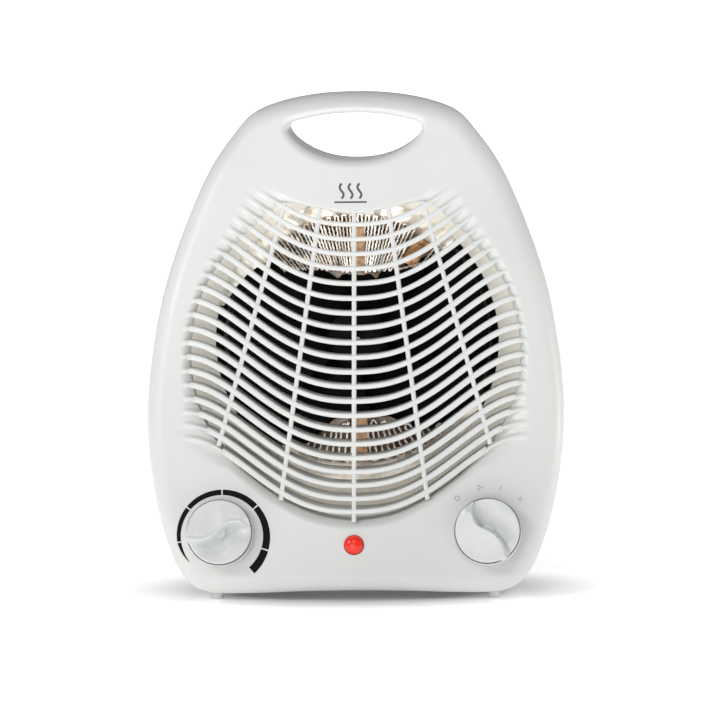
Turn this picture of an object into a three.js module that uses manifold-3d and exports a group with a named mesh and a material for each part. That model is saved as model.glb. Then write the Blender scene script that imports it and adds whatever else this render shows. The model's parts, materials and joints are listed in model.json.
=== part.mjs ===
// Upright fan convector heater: a two-part moulded case with a carrying handle and a slatted outlet,
// a resistance-wire element in a flared duct, an axial fan on a small shaded-pole motor, a thermostat,
// a rotary heat selector and a pilot lamp.
// Millimetres. +Z is up and the outlet faces -Y. The origin is on the floor, under the middle of the case.

import * as THREE from 'three';
import { mergeVertices } from 'three/addons/utils/BufferGeometryUtils.js';
import Module from 'manifold-3d';

const wasm = await Module();
wasm.setup();

// ---------------------------------------------------------------- driving dimensions

const TILT = THREE.MathUtils.degToRad(14); // the front face leans back by this much
const FACE_Y = -54.5; // front face at the floor, on the centre line
const FACE_SAG = 5; // the face falls back by this much at the widest point
const BACK_Y = 61.6; // back face at the floor
const BACK_LEAN = 0.07; // the back leans forward: millimetres per millimetre of height
const SPLIT_Y = -8; // parting plane between the two case halves, at the floor
const SPLIT_LEAN = 0.125;
const WALL = 2.5;
const EDGE_RADIUS = 9; // rounding of the case's front and back edges
const HALF_WIDTH = 107.5;
const CASE_HEIGHT = 257;
const FOOT_HEIGHT = 3.3;
const REAR_FOOT_HEIGHT = 4.8; // the rear half's base rises with its draft
const CASE_BOTTOM = FOOT_HEIGHT + 0.3;
const CASE_ARCH = 1.3; // the base rises by this much in the middle
const GAP = 0.3; // between pieces that touch
const SMOOTHING = 0.004; // slivers thinner than this are merged into their neighbours

// Right half of the case outline, (x, z), from the middle of the base round to the top of the handle.
const CASE_HALF = [
  [0, CASE_BOTTOM + CASE_ARCH], [26, CASE_BOTTOM + 1], [48, CASE_BOTTOM + 0.25], [68, CASE_BOTTOM], [75, 4.2],
  [83, 7.2], [90.5, 15.5], [97, 30], [103, 51], [107, 78.2], [HALF_WIDTH, 98.5], [105.3, 122.8],
  [99.6, 154.2], [89.3, 186.2], [75, 218.5], [63.6, 235], [51.6, 247], [38, 254],
  [19.5, CASE_HEIGHT - 0.2], [0, CASE_HEIGHT],
];
const CASE_MIDDLE = [0, 118]; // the face's rings shrink towards this point

// Hand slot: a lens with rounded tips.
const SLOT_HALF = [
  [0, 221.8], [15, 223], [28, 228.8], [34.8, 236.4], [35, 240.4], [30.5, 243], [16, 245.6], [0, 246.2],
];

// Outlet opening: an egg whose top edge dips with the slats.
const OUTLET_HALF = [
  [0, 40.3], [20, 43.2], [38, 51.5], [55, 63.5], [70.5, 79.6], [80, 96.4], [84.6, 116], [84.4, 133],
  [80, 152], [73, 165.5], [64, 176.5], [50, 190.5], [37, 200], [18, 197.6], [0, 194.8],
];

// Wavy outlet slats, counted from the top one.
const SLAT_COUNT = 21;
const SLAT_TOP_Z = 189.6;
const SLAT_PITCH = 7.5;
const SLAT_CLOSING = 3.46e-5; // the pitch tightens towards the base
const SLAT_THICKNESS = 2.2;
const WAVE_HEIGHT = 18.6;
const WAVE_HALF = 88; // half-width at which the wave crests
const WAVE_POWER = 1.25;

// Ribs fan out below a point above the outlet.
const RIB_APEX_Z = 329;
const RIB_SLOPES = [-0.278, -0.135, 0, 0.135, 0.278];
const RIB_WIDTH = 2.4;
const RIB_DEPTH = 3.4;

// Fan, motor and heating element share one level axis.
const FAN_Z = 128;
const DUCT_RADIUS = 73.5;
const FAN_RADIUS = 68;
const HUB_RADIUS = 17;
const SHAFT_RADIUS = 1.5;
const RUNNING_CLEARANCE = 0.1;
const WIRE_Y = 1.6; // front edge of the heating wire
const WIRE_DEPTH = 4.6;
const BOARD_Y = 6.6; // front of the mica boards behind the wire
const BOARD_THICKNESS = 0.8;
const FAN_Y = 18.6; // middle of the fan
const MOTOR_PLATE_Y = 27;
const STATOR_Y = 33;
const STATOR_DEPTH = 12;

// Controls on the face.
const KNOB_X = 68.3;
const KNOB_Z = 34.2;
const KNOB_RADIUS = 16;
const KNOB_BASE_RADIUS = 17.2;
const KNOB_BASE = 1.3; // above the face, so that the knob clears the face's curve
const KNOB_HEIGHT = 13.1;
const SPINDLE_RADIUS = 3;
const THERMOSTAT_REST = THREE.MathUtils.degToRad(16); // where the pointer stands, from +X
const SELECTOR_REST = THREE.MathUtils.degToRad(126);
const PILOT_Z = 28.9;
const PILOT_RADIUS = 5;

// Case screws, (x, z), driven in from the back.
const SCREW_PLACES = {
  lower_left: [-40, 18],
  lower_right: [40, 18],
  middle_left: [-84, 64],
  middle_right: [84, 64],
  upper_left: [-46, 222],
  upper_right: [46, 222],
};

const CORD_INLET = [58, 24]; // (x, z) on the back
const INLET_RADIUS = 3.7;

// ---------------------------------------------------------------- surfaces of the case

const faceY = (x, z) => FACE_Y + z * Math.tan(TILT) + FACE_SAG * (x / HALF_WIDTH) ** 2;
const backY = (x, z) => BACK_Y - BACK_LEAN * z;
const splitY = (x, z) => SPLIT_Y + SPLIT_LEAN * z;
const slatDepth = (z) => THREE.MathUtils.mapLinear(z, 190, 45, 5, 20);
const slatBackY = (x, z) => faceY(x, z) + slatDepth(z);
const wave = (x) => WAVE_HEIGHT * (1 - Math.cos(Math.PI * (Math.abs(x) / WAVE_HALF) ** WAVE_POWER));

// ---------------------------------------------------------------- outlines and solids

// A half outline mirrored into a closed one, as evenly spaced points running counter-clockwise.
function closedOutline(half, count) {
  const right = half.map(([x, z]) => new THREE.Vector3(x, z, 0));
  const left = half.slice(1, -1).reverse().map(([x, z]) => new THREE.Vector3(-x, z, 0));
  const curve = new THREE.CatmullRomCurve3([...right, ...left], true, 'centripetal');
  return curve.getSpacedPoints(count).slice(0, -1).map((p) => new THREE.Vector2(p.x, p.y));
}

// The outline moved inwards by a distance, or outwards if it is negative.
function inset(outline, distance) {
  const count = outline.length;
  return outline.map((p, i) => {
    const along = outline[(i + 1) % count].clone().sub(outline[(i + count - 1) % count]).normalize();
    return new THREE.Vector2(p.x - along.y * distance, p.y + along.x * distance);
  });
}

function contains(outline, x, z) {
  let inside = false;
  outline.forEach((a, i) => {
    const b = outline[(i + 1) % outline.length];
    if (a.y > z !== b.y > z && x < ((b.x - a.x) * (z - a.y)) / (b.y - a.y) + a.x) inside = !inside;
  });
  return inside;
}

const CASE = closedOutline(CASE_HALF, 56);
const SLOT = closedOutline(SLOT_HALF, 24);
const OUTLET = closedOutline(OUTLET_HALF, 44);

// Triangles, as a list of points and a list of corner numbers, to a manifold solid facing out.
function solidFrom(points, corners) {
  const vertProperties = new Float32Array(points.flatMap((p) => [p.x, p.y, p.z]));
  const make = (triVerts) => new wasm.Manifold(new wasm.Mesh({ numProp: 3, vertProperties, triVerts }));
  const solid = make(new Uint32Array(corners));
  return solid.volume() > 0 ? solid : make(new Uint32Array(corners).reverse());
}

// A three.js geometry to a manifold solid, after an optional move.
function solidOf(geometry, matrix = new THREE.Matrix4()) {
  const bare = new THREE.BufferGeometry();
  bare.setAttribute('position', geometry.getAttribute('position').clone());
  if (geometry.index) bare.setIndex(geometry.index.clone());
  const merged = mergeVertices(bare.applyMatrix4(matrix), 1e-4);
  const mesh = new wasm.Mesh({
    numProp: 3,
    vertProperties: new Float32Array(merged.attributes.position.array),
    triVerts: new Uint32Array(merged.index.array),
  });
  return new wasm.Manifold(mesh);
}

function geometryOf(solid) {
  const mesh = solid.simplify(SMOOTHING).getMesh();
  const geometry = new THREE.BufferGeometry();
  geometry.setAttribute('position', new THREE.BufferAttribute(mesh.vertProperties, 3));
  geometry.setIndex(new THREE.BufferAttribute(mesh.triVerts, 1));
  geometry.computeVertexNormals();
  return geometry;
}

const joined = (solids) => solids.reduce((sum, solid) => sum.add(solid));

// Rings of equal length to a closed skin. The ends are capped, or the last ring meets the first.
function loft(rings, { ringed = false, tip = null } = {}) {
  const count = rings[0].length;
  const points = rings.flat();
  const corners = [];
  const spans = ringed ? rings.length : rings.length - 1;
  for (let r = 0; r < spans; r++) {
    for (let i = 0; i < count; i++) {
      const a = r * count + i;
      const b = r * count + ((i + 1) % count);
      const c = ((r + 1) % rings.length) * count + i;
      const d = ((r + 1) % rings.length) * count + ((i + 1) % count);
      corners.push(a, b, d, a, d, c);
    }
  }
  if (ringed) return solidFrom(points, corners);
  capRing(rings[0]).forEach(([a, b, c]) => corners.push(c, b, a));
  const last = (rings.length - 1) * count;
  if (tip) {
    points.push(tip);
    for (let i = 0; i < count; i++) corners.push(last + i, last + ((i + 1) % count), points.length - 1);
  } else {
    capRing(rings.at(-1)).forEach(([a, b, c]) => corners.push(last + a, last + b, last + c));
  }
  return solidFrom(points, corners);
}

// Triangles across one ring, flattened along whichever axis it is thinnest.
function capRing(ring) {
  const size = new THREE.Box3().setFromPoints(ring).getSize(new THREE.Vector3());
  const [thinnest] = ['x', 'y', 'z'].sort((a, b) => size[a] - size[b]);
  const [across, up] = ['x', 'y', 'z'].filter((axis) => axis !== thinnest);
  const contour = ring.map((p) => new THREE.Vector2(p[across], p[up]));
  const turned = THREE.ShapeUtils.isClockWise(contour);
  const faces = THREE.ShapeUtils.triangulateShape(turned ? contour.slice().reverse() : contour, []);
  return turned ? faces.map((f) => f.map((i) => ring.length - 1 - i).reverse()) : faces;
}

// An outline in the x-z plane, taken straight back from y0 to y1.
function prism(outline, y0, y1) {
  const shape = new THREE.Shape(outline);
  const geometry = new THREE.ExtrudeGeometry(shape, { depth: y1 - y0, bevelEnabled: false });
  return solidOf(geometry.rotateX(Math.PI / 2).translate(0, y1, 0));
}

// A rod along Y.
function rod(x, z, y0, y1, radius, sides = 20) {
  const geometry = new THREE.CylinderGeometry(radius, radius, y1 - y0, sides);
  return solidOf(geometry.translate(x, (y0 + y1) / 2, z));
}

function block(x0, x1, y0, y1, z0, z1) {
  const geometry = new THREE.BoxGeometry(x1 - x0, y1 - y0, z1 - z0);
  return solidOf(geometry.translate((x0 + x1) / 2, (y0 + y1) / 2, (z0 + z1) / 2));
}

// A turned solid about the fan's axis: profile points are (radius, y), and close on themselves.
function turned(profile, sides = 40) {
  const points = profile.map(([radius, y]) => new THREE.Vector2(radius, y));
  return solidOf(new THREE.LatheGeometry([...points, points[0]], sides).translate(0, 0, FAN_Z));
}

// A solid that fills the case outline, flat at one end and rounded over to a face at the other.
// side is -1 for a face towards the front and 1 for one towards the back.
function caseSolid(endY, face, side, { insetBy = 0, radius = EDGE_RADIUS, draft = 0, steps = 2 } = {}) {
  const ringAt = (outline, height) => outline.map((p) => new THREE.Vector3(p.x, height(p.x, p.y), p.y));
  const rings = [ringAt(inset(CASE, insetBy), endY)];
  for (let k = 0; k <= steps; k++) {
    const turn = ((k / steps) * Math.PI) / 2;
    const outline = inset(CASE, insetBy + draft + radius * (1 - Math.cos(turn)));
    rings.push(ringAt(outline, (x, z) => face(x, z) - side * radius * (1 - Math.sin(turn))));
  }
  const rim = inset(CASE, insetBy + draft + radius);
  const middle = new THREE.Vector2(...CASE_MIDDLE);
  for (const scale of [0.66, 0.33]) {
    rings.push(ringAt(rim.map((p) => p.clone().lerp(middle, 1 - scale)), face));
  }
  return loft(rings, { tip: new THREE.Vector3(middle.x, face(middle.x, middle.y), middle.y) });
}

// ---------------------------------------------------------------- the assembly's bookkeeping

const heater = new THREE.Group();
heater.name = 'fan_heater';

function addMesh(name, geometry, colour, { roughness = 0.5, metalness = 0, to = heater } = {}) {
  const material = new THREE.MeshStandardMaterial({ color: colour, roughness, metalness });
  const mesh = new THREE.Mesh(geometry, material);
  mesh.name = name;
  to.add(mesh);
  return mesh;
}

const addSolid = (name, solid, colour, options) => addMesh(name, geometryOf(solid), colour, options);

// A group whose origin is on the front face and whose +Z stands out of it.
function onFace(x, z) {
  const group = new THREE.Group();
  group.position.set(x, faceY(x, z), z);
  group.rotation.x = Math.PI / 2 - TILT;
  heater.add(group);
  group.updateMatrixWorld(true);
  return group;
}

const WHITE = 0xe9ecea;
const BLACK = 0x141516;
const STEEL = { roughness: 0.35, metalness: 0.9 };

// ---------------------------------------------------------------- front case half with its outlet

// Half the length of a slat: how far its wave stays inside the outlet.
function reach(step, isInside) {
  let x = 0;
  while (isInside(x + step)) x += step;
  return x;
}

function slat(index) {
  const z0 = SLAT_TOP_Z - SLAT_PITCH * index + SLAT_CLOSING * index ** 4;
  const half = reach(0.5, (x) => contains(OUTLET, x, z0 + wave(x))) + 1.2;
  const steps = 2 * Math.ceil(half / 17);
  const sections = [];
  for (let k = 0; k <= steps; k++) {
    const x = THREE.MathUtils.mapLinear(k, 0, steps, -half, half);
    const z = z0 + wave(x);
    const front = SLAT_THICKNESS / 2;
    const back = front - 0.3;
    sections.push([
      new THREE.Vector3(x, faceY(x, z) + 0.1, z - front),
      new THREE.Vector3(x, slatBackY(x, z) - 0.4, z - back),
      new THREE.Vector3(x, slatBackY(x, z) - 0.4, z + back),
      new THREE.Vector3(x, faceY(x, z) + 0.1, z + front),
    ]);
  }
  return loft(sections);
}

function rib(slope) {
  const xAt = (z) => slope * (RIB_APEX_Z - z);
  const rise = reach(0.5, (d) => contains(OUTLET, xAt(CASE_MIDDLE[1] + d), CASE_MIDDLE[1] + d));
  const drop = reach(0.5, (d) => contains(OUTLET, xAt(CASE_MIDDLE[1] - d), CASE_MIDDLE[1] - d));
  const top = CASE_MIDDLE[1] + rise + 1.2;
  const bottom = CASE_MIDDLE[1] - drop - 1.2;
  const sections = [];
  for (let k = 0; k <= 3; k++) {
    const z = THREE.MathUtils.mapLinear(k, 0, 3, bottom, top);
    const x = xAt(z);
    const corner = (side, dy) => new THREE.Vector3(x + (side * RIB_WIDTH) / 2, faceY(x, z) + dy, z);
    sections.push([corner(-1, 0.25), corner(1, 0.25), corner(1, RIB_DEPTH), corner(-1, RIB_DEPTH)]);
  }
  return loft(sections);
}

// The wall round the outlet that the slats' ends grow from.
function outletCollar() {
  const ring = (outline, height) => outline.map((p) => new THREE.Vector3(p.x, height(p.x, p.y), p.y));
  const outer = inset(OUTLET, -2);
  const front = (x, z) => faceY(x, z) + 0.4;
  return loft([ring(outer, front), ring(outer, slatBackY), ring(OUTLET, slatBackY), ring(OUTLET, front)], {
    ringed: true,
  });
}

// The square hole through the face, in the case's frame, for something that stands on the face.
const faceHole = (x, z, radius, sides = 20) =>
  solidOf(new THREE.CylinderGeometry(radius, radius, 24, sides).rotateX(Math.PI / 2), onFaceMatrix(x, z));

function onFaceMatrix(x, z) {
  const turn = new THREE.Quaternion().setFromEuler(new THREE.Euler(Math.PI / 2 - TILT, 0, 0));
  return new THREE.Matrix4().compose(new THREE.Vector3(x, faceY(x, z), z), turn, new THREE.Vector3(1, 1, 1));
}

const SCREW_POST_RADIUS = 4.5;
const SCREW_BOSS_RADIUS = 6.2;
const SCREW_HEAD_RADIUS = 3.7;
const SCREW_SEAT = 12; // from the parting plane back to the screw head

function frontShell() {
  const outer = caseSolid(splitY, faceY, -1);
  const behind = (x, z) => splitY(x, z) + 2;
  const hollow = caseSolid(behind, (x, z) => faceY(x, z) + WALL, -1, {
    insetBy: WALL,
    radius: EDGE_RADIUS - WALL,
  });
  const slotWall = prism(inset(SLOT, -WALL), -60, 60);
  const places = Object.values(SCREW_PLACES);
  const posts = joined(places.map(([x, z]) => rod(x, z, -60, 60, SCREW_POST_RADIUS, 16)));
  const pilotHoles = joined(places.map(([x, z]) => rod(x, z, splitY(x, z) - 12, 60, 1.5, 10)));
  return outer
    .subtract(hollow.subtract(slotWall).subtract(posts))
    .subtract(prism(SLOT, -60, 60))
    .subtract(pilotHoles)
    .subtract(prism(OUTLET, -60, 60))
    .add(outletCollar())
    .add(joined(Array.from({ length: SLAT_COUNT }, (_, i) => slat(i))))
    .add(joined(RIB_SLOPES.map(rib)))
    .subtract(faceHole(-KNOB_X, KNOB_Z, SPINDLE_RADIUS + 0.5))
    .subtract(faceHole(KNOB_X, KNOB_Z, SPINDLE_RADIUS + 0.5))
    .subtract(faceHole(0, PILOT_Z, PILOT_RADIUS + 0.2));
}

// ---------------------------------------------------------------- rear case half with its intake

const INTAKE_RADIUS = 60;
const INTAKE_PITCH = 10;
const INTAKE_SLOT = 5.6;
const INTAKE_RIBS = [-32, 0, 32];
const INTAKE_RIB_WIDTH = 3;

// Level slots across a circle, broken by upright ribs.
function intakeSlots() {
  const rows = Math.ceil(INTAKE_RADIUS / INTAKE_PITCH) - 1;
  const slots = [];
  for (let row = -rows; row <= rows; row++) {
    const z = FAN_Z + row * INTAKE_PITCH;
    const half = Math.sqrt(INTAKE_RADIUS ** 2 - (row * INTAKE_PITCH) ** 2) - 2;
    const edges = [-half, ...INTAKE_RIBS.filter((x) => Math.abs(x) < half - 6), half];
    for (let k = 0; k + 1 < edges.length; k++) {
      const left = edges[k] + (k === 0 ? 0 : INTAKE_RIB_WIDTH / 2);
      const right = edges[k + 1] - (k + 2 === edges.length ? 0 : INTAKE_RIB_WIDTH / 2);
      slots.push(block(left, right, 30, 80, z - INTAKE_SLOT / 2, z + INTAKE_SLOT / 2));
    }
  }
  return joined(slots);
}

function rearShell() {
  const start = (x, z) => splitY(x, z) + GAP;
  const outer = caseSolid(start, backY, 1, { radius: 11, draft: 2 });
  const hollow = caseSolid((x, z) => splitY(x, z) - 2, (x, z) => backY(x, z) - WALL, 1, {
    insetBy: WALL,
    radius: 11 - WALL,
    draft: 2,
  });
  const slotWall = prism(inset(SLOT, -WALL), -60, 80);
  const places = Object.values(SCREW_PLACES);
  const bosses = joined(places.map(([x, z]) => rod(x, z, -60, 80, SCREW_BOSS_RADIUS, 18)));
  const wells = joined(places.map(([x, z]) => rod(x, z, splitY(x, z) + SCREW_SEAT, 80, 4.2, 16)));
  const clearance = joined(places.map(([x, z]) => rod(x, z, -60, 80, 2, 10)));
  return outer
    .subtract(hollow.subtract(slotWall).subtract(bosses))
    .subtract(prism(SLOT, -60, 80))
    .subtract(wells)
    .subtract(clearance)
    .subtract(intakeSlots())
    .subtract(rod(...CORD_INLET, 30, 80, 6.2, 20));
}

addSolid('front_shell', frontShell(), WHITE, { roughness: 0.35 });
addSolid('rear_shell', rearShell(), WHITE, { roughness: 0.4 });

// ---------------------------------------------------------------- feet, screws and cord inlet

function foot(name, x, y, height) {
  const half = 2.8;
  const length = 12;
  const shape = new THREE.Shape();
  shape.absarc(0, length / 2 - half, half, 0, Math.PI);
  shape.absarc(0, half - length / 2, half, Math.PI, 2 * Math.PI);
  const geometry = new THREE.ExtrudeGeometry(shape, { depth: height, bevelEnabled: false, curveSegments: 6 });
  const mesh = addMesh(name, geometry, 0xd8dad8, { roughness: 0.7 });
  mesh.position.set(x, y, 0);
}

foot('foot_front_left', -71, -34, FOOT_HEIGHT);
foot('foot_front_right', 71, -34, FOOT_HEIGHT);
foot('foot_rear_left', -68, 42, REAR_FOOT_HEIGHT);
foot('foot_rear_right', 68, 42, REAR_FOOT_HEIGHT);

for (const [place, [x, z]] of Object.entries(SCREW_PLACES)) {
  const seat = splitY(x, z) + SCREW_SEAT - GAP;
  const head = rod(x, z, seat + 0.6, seat + 3.2, SCREW_HEAD_RADIUS, 14);
  const cross = block(x - 2, x + 2, seat + 2, seat + 4, z - 0.4, z + 0.4)
    .add(block(x - 0.4, x + 0.4, seat + 2, seat + 4, z - 2, z + 2));
  const shank = rod(x, z, splitY(x, z) - 10, seat + 1, 1.25, 10);
  addSolid('case_screw_' + place, head.add(shank).subtract(cross), 0x9a9c9e, STEEL);
}

// The cord's gland: a grooved grommet in the back wall.
{
  const [x, z] = CORD_INLET;
  const wall = backY(x, z);
  const profile = [
    [INLET_RADIUS, wall - 7], [5.6, wall - 7], [5.6, wall + 0.7], [8.4, wall + 0.7],
    [8.4, wall + 1.2], [7.6, wall + 1.7], [INLET_RADIUS, wall + 1.7],
  ];
  const points = profile.map(([radius, y]) => new THREE.Vector2(radius, y));
  const gland = new THREE.LatheGeometry([...points, points[0]], 20).translate(x, 0, z);
  addMesh('cord_gland', gland, 0xdedfdd, { roughness: 0.6 });
}

// ---------------------------------------------------------------- duct, boards and heating wire

const LINER_THICKNESS = 1;

// Flared sleeve from the outlet's egg to the fan's circle.
function ductLiner() {
  const rings = (outset) => {
    const egg = inset(OUTLET, -0.2 - outset);
    const steps = 3;
    return Array.from({ length: steps + 1 }, (_, k) => {
      const share = k / steps;
      return egg.map((p) => {
        const angle = Math.atan2(p.y - FAN_Z, p.x);
        const radius = DUCT_RADIUS + outset;
        const round = new THREE.Vector2(radius * Math.cos(angle), FAN_Z + radius * Math.sin(angle));
        const at = p.clone().lerp(round, share);
        const front = slatBackY(p.x, p.y) + 0.5;
        return new THREE.Vector3(at.x, THREE.MathUtils.lerp(front, BOARD_Y + 1.6, share), at.y);
      });
    });
  };
  return loft([...rings(LINER_THICKNESS), ...rings(0).reverse()], { ringed: true });
}

addSolid('duct_liner', ductLiner(), 0xcfc3ab, { roughness: 0.6 });

// A thin upright board in the duct, cut to the duct's circle.
function board(edge) {
  const points = edge.map(([x, z]) => new THREE.Vector3(x, z, 0));
  const curve = new THREE.CatmullRomCurve3(points, false, 'centripetal');
  const inner = curve.getSpacedPoints(24).map((p) => new THREE.Vector2(p.x, p.y));
  const upper = inner[0].y > FAN_Z;
  const far = upper ? FAN_Z + 90 : FAN_Z - 90;
  const outline = [...inner, new THREE.Vector2(inner.at(-1).x, far), new THREE.Vector2(inner[0].x, far)];
  const circle = rod(0, FAN_Z, BOARD_Y - 1, BOARD_Y + 3, DUCT_RADIUS - 2.6, 48);
  const slab = prism(upper ? outline.reverse() : outline, BOARD_Y, BOARD_Y + BOARD_THICKNESS);
  return slab.intersect(circle);
}

// The inner edges of the two boards, from left to right.
const UPPER_BOARD_EDGE = [
  [-69, 147], [-60, 159], [-48, 166], [-36, 168], [-24, 164], [-12, 159], [0, 157.5], [12, 158], [24, 163],
  [36, 167], [46, 174],
];
const LOWER_BOARD_EDGE = [
  [-58, 80], [-44, 73], [-28, 73], [-18, 84], [-10, 92], [10, 92], [18, 84], [32, 82], [46, 87], [60, 94],
];
addSolid('upper_mica_board', board(UPPER_BOARD_EDGE), 0xe6e2d6, { roughness: 0.7 });
addSolid('lower_mica_board', board(LOWER_BOARD_EDGE), 0xd9cfb8, { roughness: 0.7 });

const degrees = THREE.MathUtils.degToRad;
const WIRE_WIDTH = 0.8;

// A flat resistance ribbon that runs out and back along the fan's radii, as one folded strip.
// innerAt and outerAt give the fold radii at an angle from the upward direction, clockwise positive.
// The strip passes by the strands in skipped, an even number of them.
function foldedWire(from, to, strands, innerAt, outerAt, { down = false, skipped = [] } = {}) {
  const middle = [];
  for (let k = 0; k < strands; k++) {
    if (skipped.includes(k)) continue;
    const angle = THREE.MathUtils.mapLinear(k, 0, strands - 1, degrees(from), degrees(to));
    const ends = k % 2 ? [outerAt(angle), innerAt(angle)] : [innerAt(angle), outerAt(angle)];
    ends.forEach((radius) => middle.push(
      new THREE.Vector2(radius * Math.sin(angle), FAN_Z + (down ? -1 : 1) * radius * Math.cos(angle)),
    ));
  }
  const side = (sign) => middle.map((p, i) => {
    const before = middle[Math.max(i - 1, 0)];
    const after = middle[Math.min(i + 1, middle.length - 1)];
    const u = (i ? p.clone().sub(before) : after.clone().sub(p)).normalize();
    const v = (i < middle.length - 1 ? after.clone().sub(p) : p.clone().sub(before)).normalize();
    const normal = new THREE.Vector2(-u.y - v.y, u.x + v.x).normalize();
    const stretch = 1 / Math.max(0.5, normal.dot(new THREE.Vector2(-u.y, u.x)));
    return p.clone().addScaledVector(normal, (sign * WIRE_WIDTH * stretch) / 2);
  });
  const outline = [...side(1), ...side(-1).reverse()];
  if (THREE.ShapeUtils.isClockWise(outline)) outline.reverse();
  return prism(outline, WIRE_Y, WIRE_Y + WIRE_DEPTH);
}

const WIRE_LOOK = { roughness: 0.4, metalness: 0.7 };
const CUT_OUT_ANGLE = 34; // the cut-out takes the place of four strands here
const UPPER_OUTER = 66.5;
const upperInner = (angle) => 31.5 + 30 * (1 - Math.cos(1.5 * angle));
const lowerInner = (angle) => 38 + 9 * Math.abs(angle);
const lowerOuter = (angle) => 62 + 5 * Math.abs(angle);
const upperWire = foldedWire(-36, 44, 29, upperInner, () => UPPER_OUTER, { skipped: [23, 24, 25, 26] });
const lowerWire = foldedWire(-26, 50, 21, lowerInner, lowerOuter, { down: true });
addSolid('upper_heating_wire', upperWire, 0x8a7a66, WIRE_LOOK);
addSolid('lower_heating_wire', lowerWire, 0x8a7a66, WIRE_LOOK);

// Mica posts clamp the middle of each bank of wire, in front of it.
const POST_DEPTH = 1;
const post = (z0, z1) => block(-1.2, 5.2, WIRE_Y - GAP - POST_DEPTH, WIRE_Y - GAP, z0, z1);
addSolid('upper_mica_post', post(158, 190), 0x9a7a54, { roughness: 0.6 });
addSolid('lower_mica_post', post(66, 91), 0x9a7a54, { roughness: 0.6 });

// A bimetal cut-out stands on the upper board between the strands: a cap on a plate.
{
  const plate = new THREE.BoxGeometry(8, 1.4, 15).translate(0, BOARD_Y - GAP - 0.7, 55.5);
  const cap = new THREE.CylinderGeometry(3.4, 3.4, 3, 20).translate(0, BOARD_Y - GAP - 2.4, 57);
  const turn = new THREE.Matrix4().makeRotationY(degrees(CUT_OUT_ANGLE)).setPosition(0, 0, FAN_Z);
  addSolid('thermal_cutout', solidOf(plate, turn).add(solidOf(cap, turn)), 0xb98d5e, { roughness: 0.5 });
}

// A thermal fuse lies behind the upper board, in the air stream.
const fuse = new THREE.CapsuleGeometry(1.6, 11, 4, 12).rotateZ(Math.PI / 2);
fuse.translate(-34, BOARD_Y + 2.9, 181);
addMesh('thermal_fuse', fuse, 0xc9c4b8, { roughness: 0.4, metalness: 0.4 });

// ---------------------------------------------------------------- fan shroud, motor and impeller

function fanShroud() {
  const lip = BOARD_Y + 2.2;
  const ring = turned([
    [79, lip], [79, lip + 1.5], [73.5, lip + 3], [71.5, lip + 6], [71.5, MOTOR_PLATE_Y + 2],
    [70, MOTOR_PLATE_Y + 2], [70, lip + 5.4], [74.4, lip],
  ], 36);
  const arms = [0, 1, 2].map((k) => {
    const arm = new THREE.BoxGeometry(52, 2, 9).translate(46, MOTOR_PLATE_Y + 1, 0);
    return solidOf(arm.rotateY(Math.PI / 2 + (k * 2 * Math.PI) / 3).translate(0, 0, FAN_Z));
  });
  const [front, back] = [MOTOR_PLATE_Y, MOTOR_PLATE_Y + 2];
  const plate = turned([[5.6, front], [24, front], [24, back], [5.6, back]], 24);
  return joined([ring, plate, ...arms]);
}

addSolid('fan_shroud', fanShroud(), BLACK, { roughness: 0.55 });

// One screw-shaped blade: a curved sheet that climbs along the axis as it goes round.
function blade(start) {
  const span = degrees(58);
  const rise = 6;
  const thickness = 1.4;
  const around = 5;
  const radii = [HUB_RADIUS - 1.5, 34, 52, FAN_RADIUS];
  const rings = radii.map((radius) => {
    const at = (k, dy) => {
      const turn = start + span * (k / around - 0.5);
      const y = FAN_Y + rise * (1 - (2 * k) / around) + dy;
      return new THREE.Vector3(radius * Math.cos(turn), y, FAN_Z + radius * Math.sin(turn));
    };
    const front = Array.from({ length: around + 1 }, (_, k) => at(k, -thickness / 2));
    const back = Array.from({ length: around + 1 }, (_, k) => at(around - k, thickness / 2));
    return [...front, ...back];
  });
  const points = rings.flat();
  const count = rings[0].length;
  const corners = [];
  for (let r = 0; r + 1 < rings.length; r++) {
    for (let i = 0; i < count; i++) {
      const a = r * count + i;
      const b = r * count + ((i + 1) % count);
      corners.push(a, b, b + count, a, b + count, a + count);
    }
  }
  const last = (rings.length - 1) * count;
  for (let k = 0; k < around; k++) {
    const [a, b, c, d] = [k, k + 1, count - 2 - k, count - 1 - k];
    corners.push(a, c, b, a, d, c);
    corners.push(last + a, last + b, last + c, last + a, last + c, last + d);
  }
  return solidFrom(points, corners);
}

const BLADE_COUNT = 6;
const hub = turned([
  [SHAFT_RADIUS + 0.3, FAN_Y - 6.4], [SHAFT_RADIUS + 3, FAN_Y - 7.4], [HUB_RADIUS - 3, FAN_Y - 7.4],
  [HUB_RADIUS, FAN_Y - 5], [HUB_RADIUS, FAN_Y + 6.6], [SHAFT_RADIUS + 0.3, FAN_Y + 6.6],
], 30);
const blades = Array.from({ length: BLADE_COUNT }, (_, k) => blade((k * 2 * Math.PI) / BLADE_COUNT));
addSolid('fan_impeller', joined([hub, ...blades]), BLACK, { roughness: 0.45 });

const axisRod = (y0, y1, radius, sides) => rod(0, FAN_Z, y0, y1, radius, sides);
const ROTOR_RADIUS = 12;
const statorBack = STATOR_Y + STATOR_DEPTH;
addSolid('motor_shaft', axisRod(FAN_Y - 6, statorBack + 2.6, SHAFT_RADIUS, 16), 0xb8babd, STEEL);
const rotorCore = axisRod(STATOR_Y + 0.2, statorBack - 0.2, ROTOR_RADIUS, 28);
addSolid('motor_rotor', rotorCore.subtract(axisRod(0, 80, SHAFT_RADIUS + 0.05, 16)), 0x8d9094, STEEL);

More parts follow.
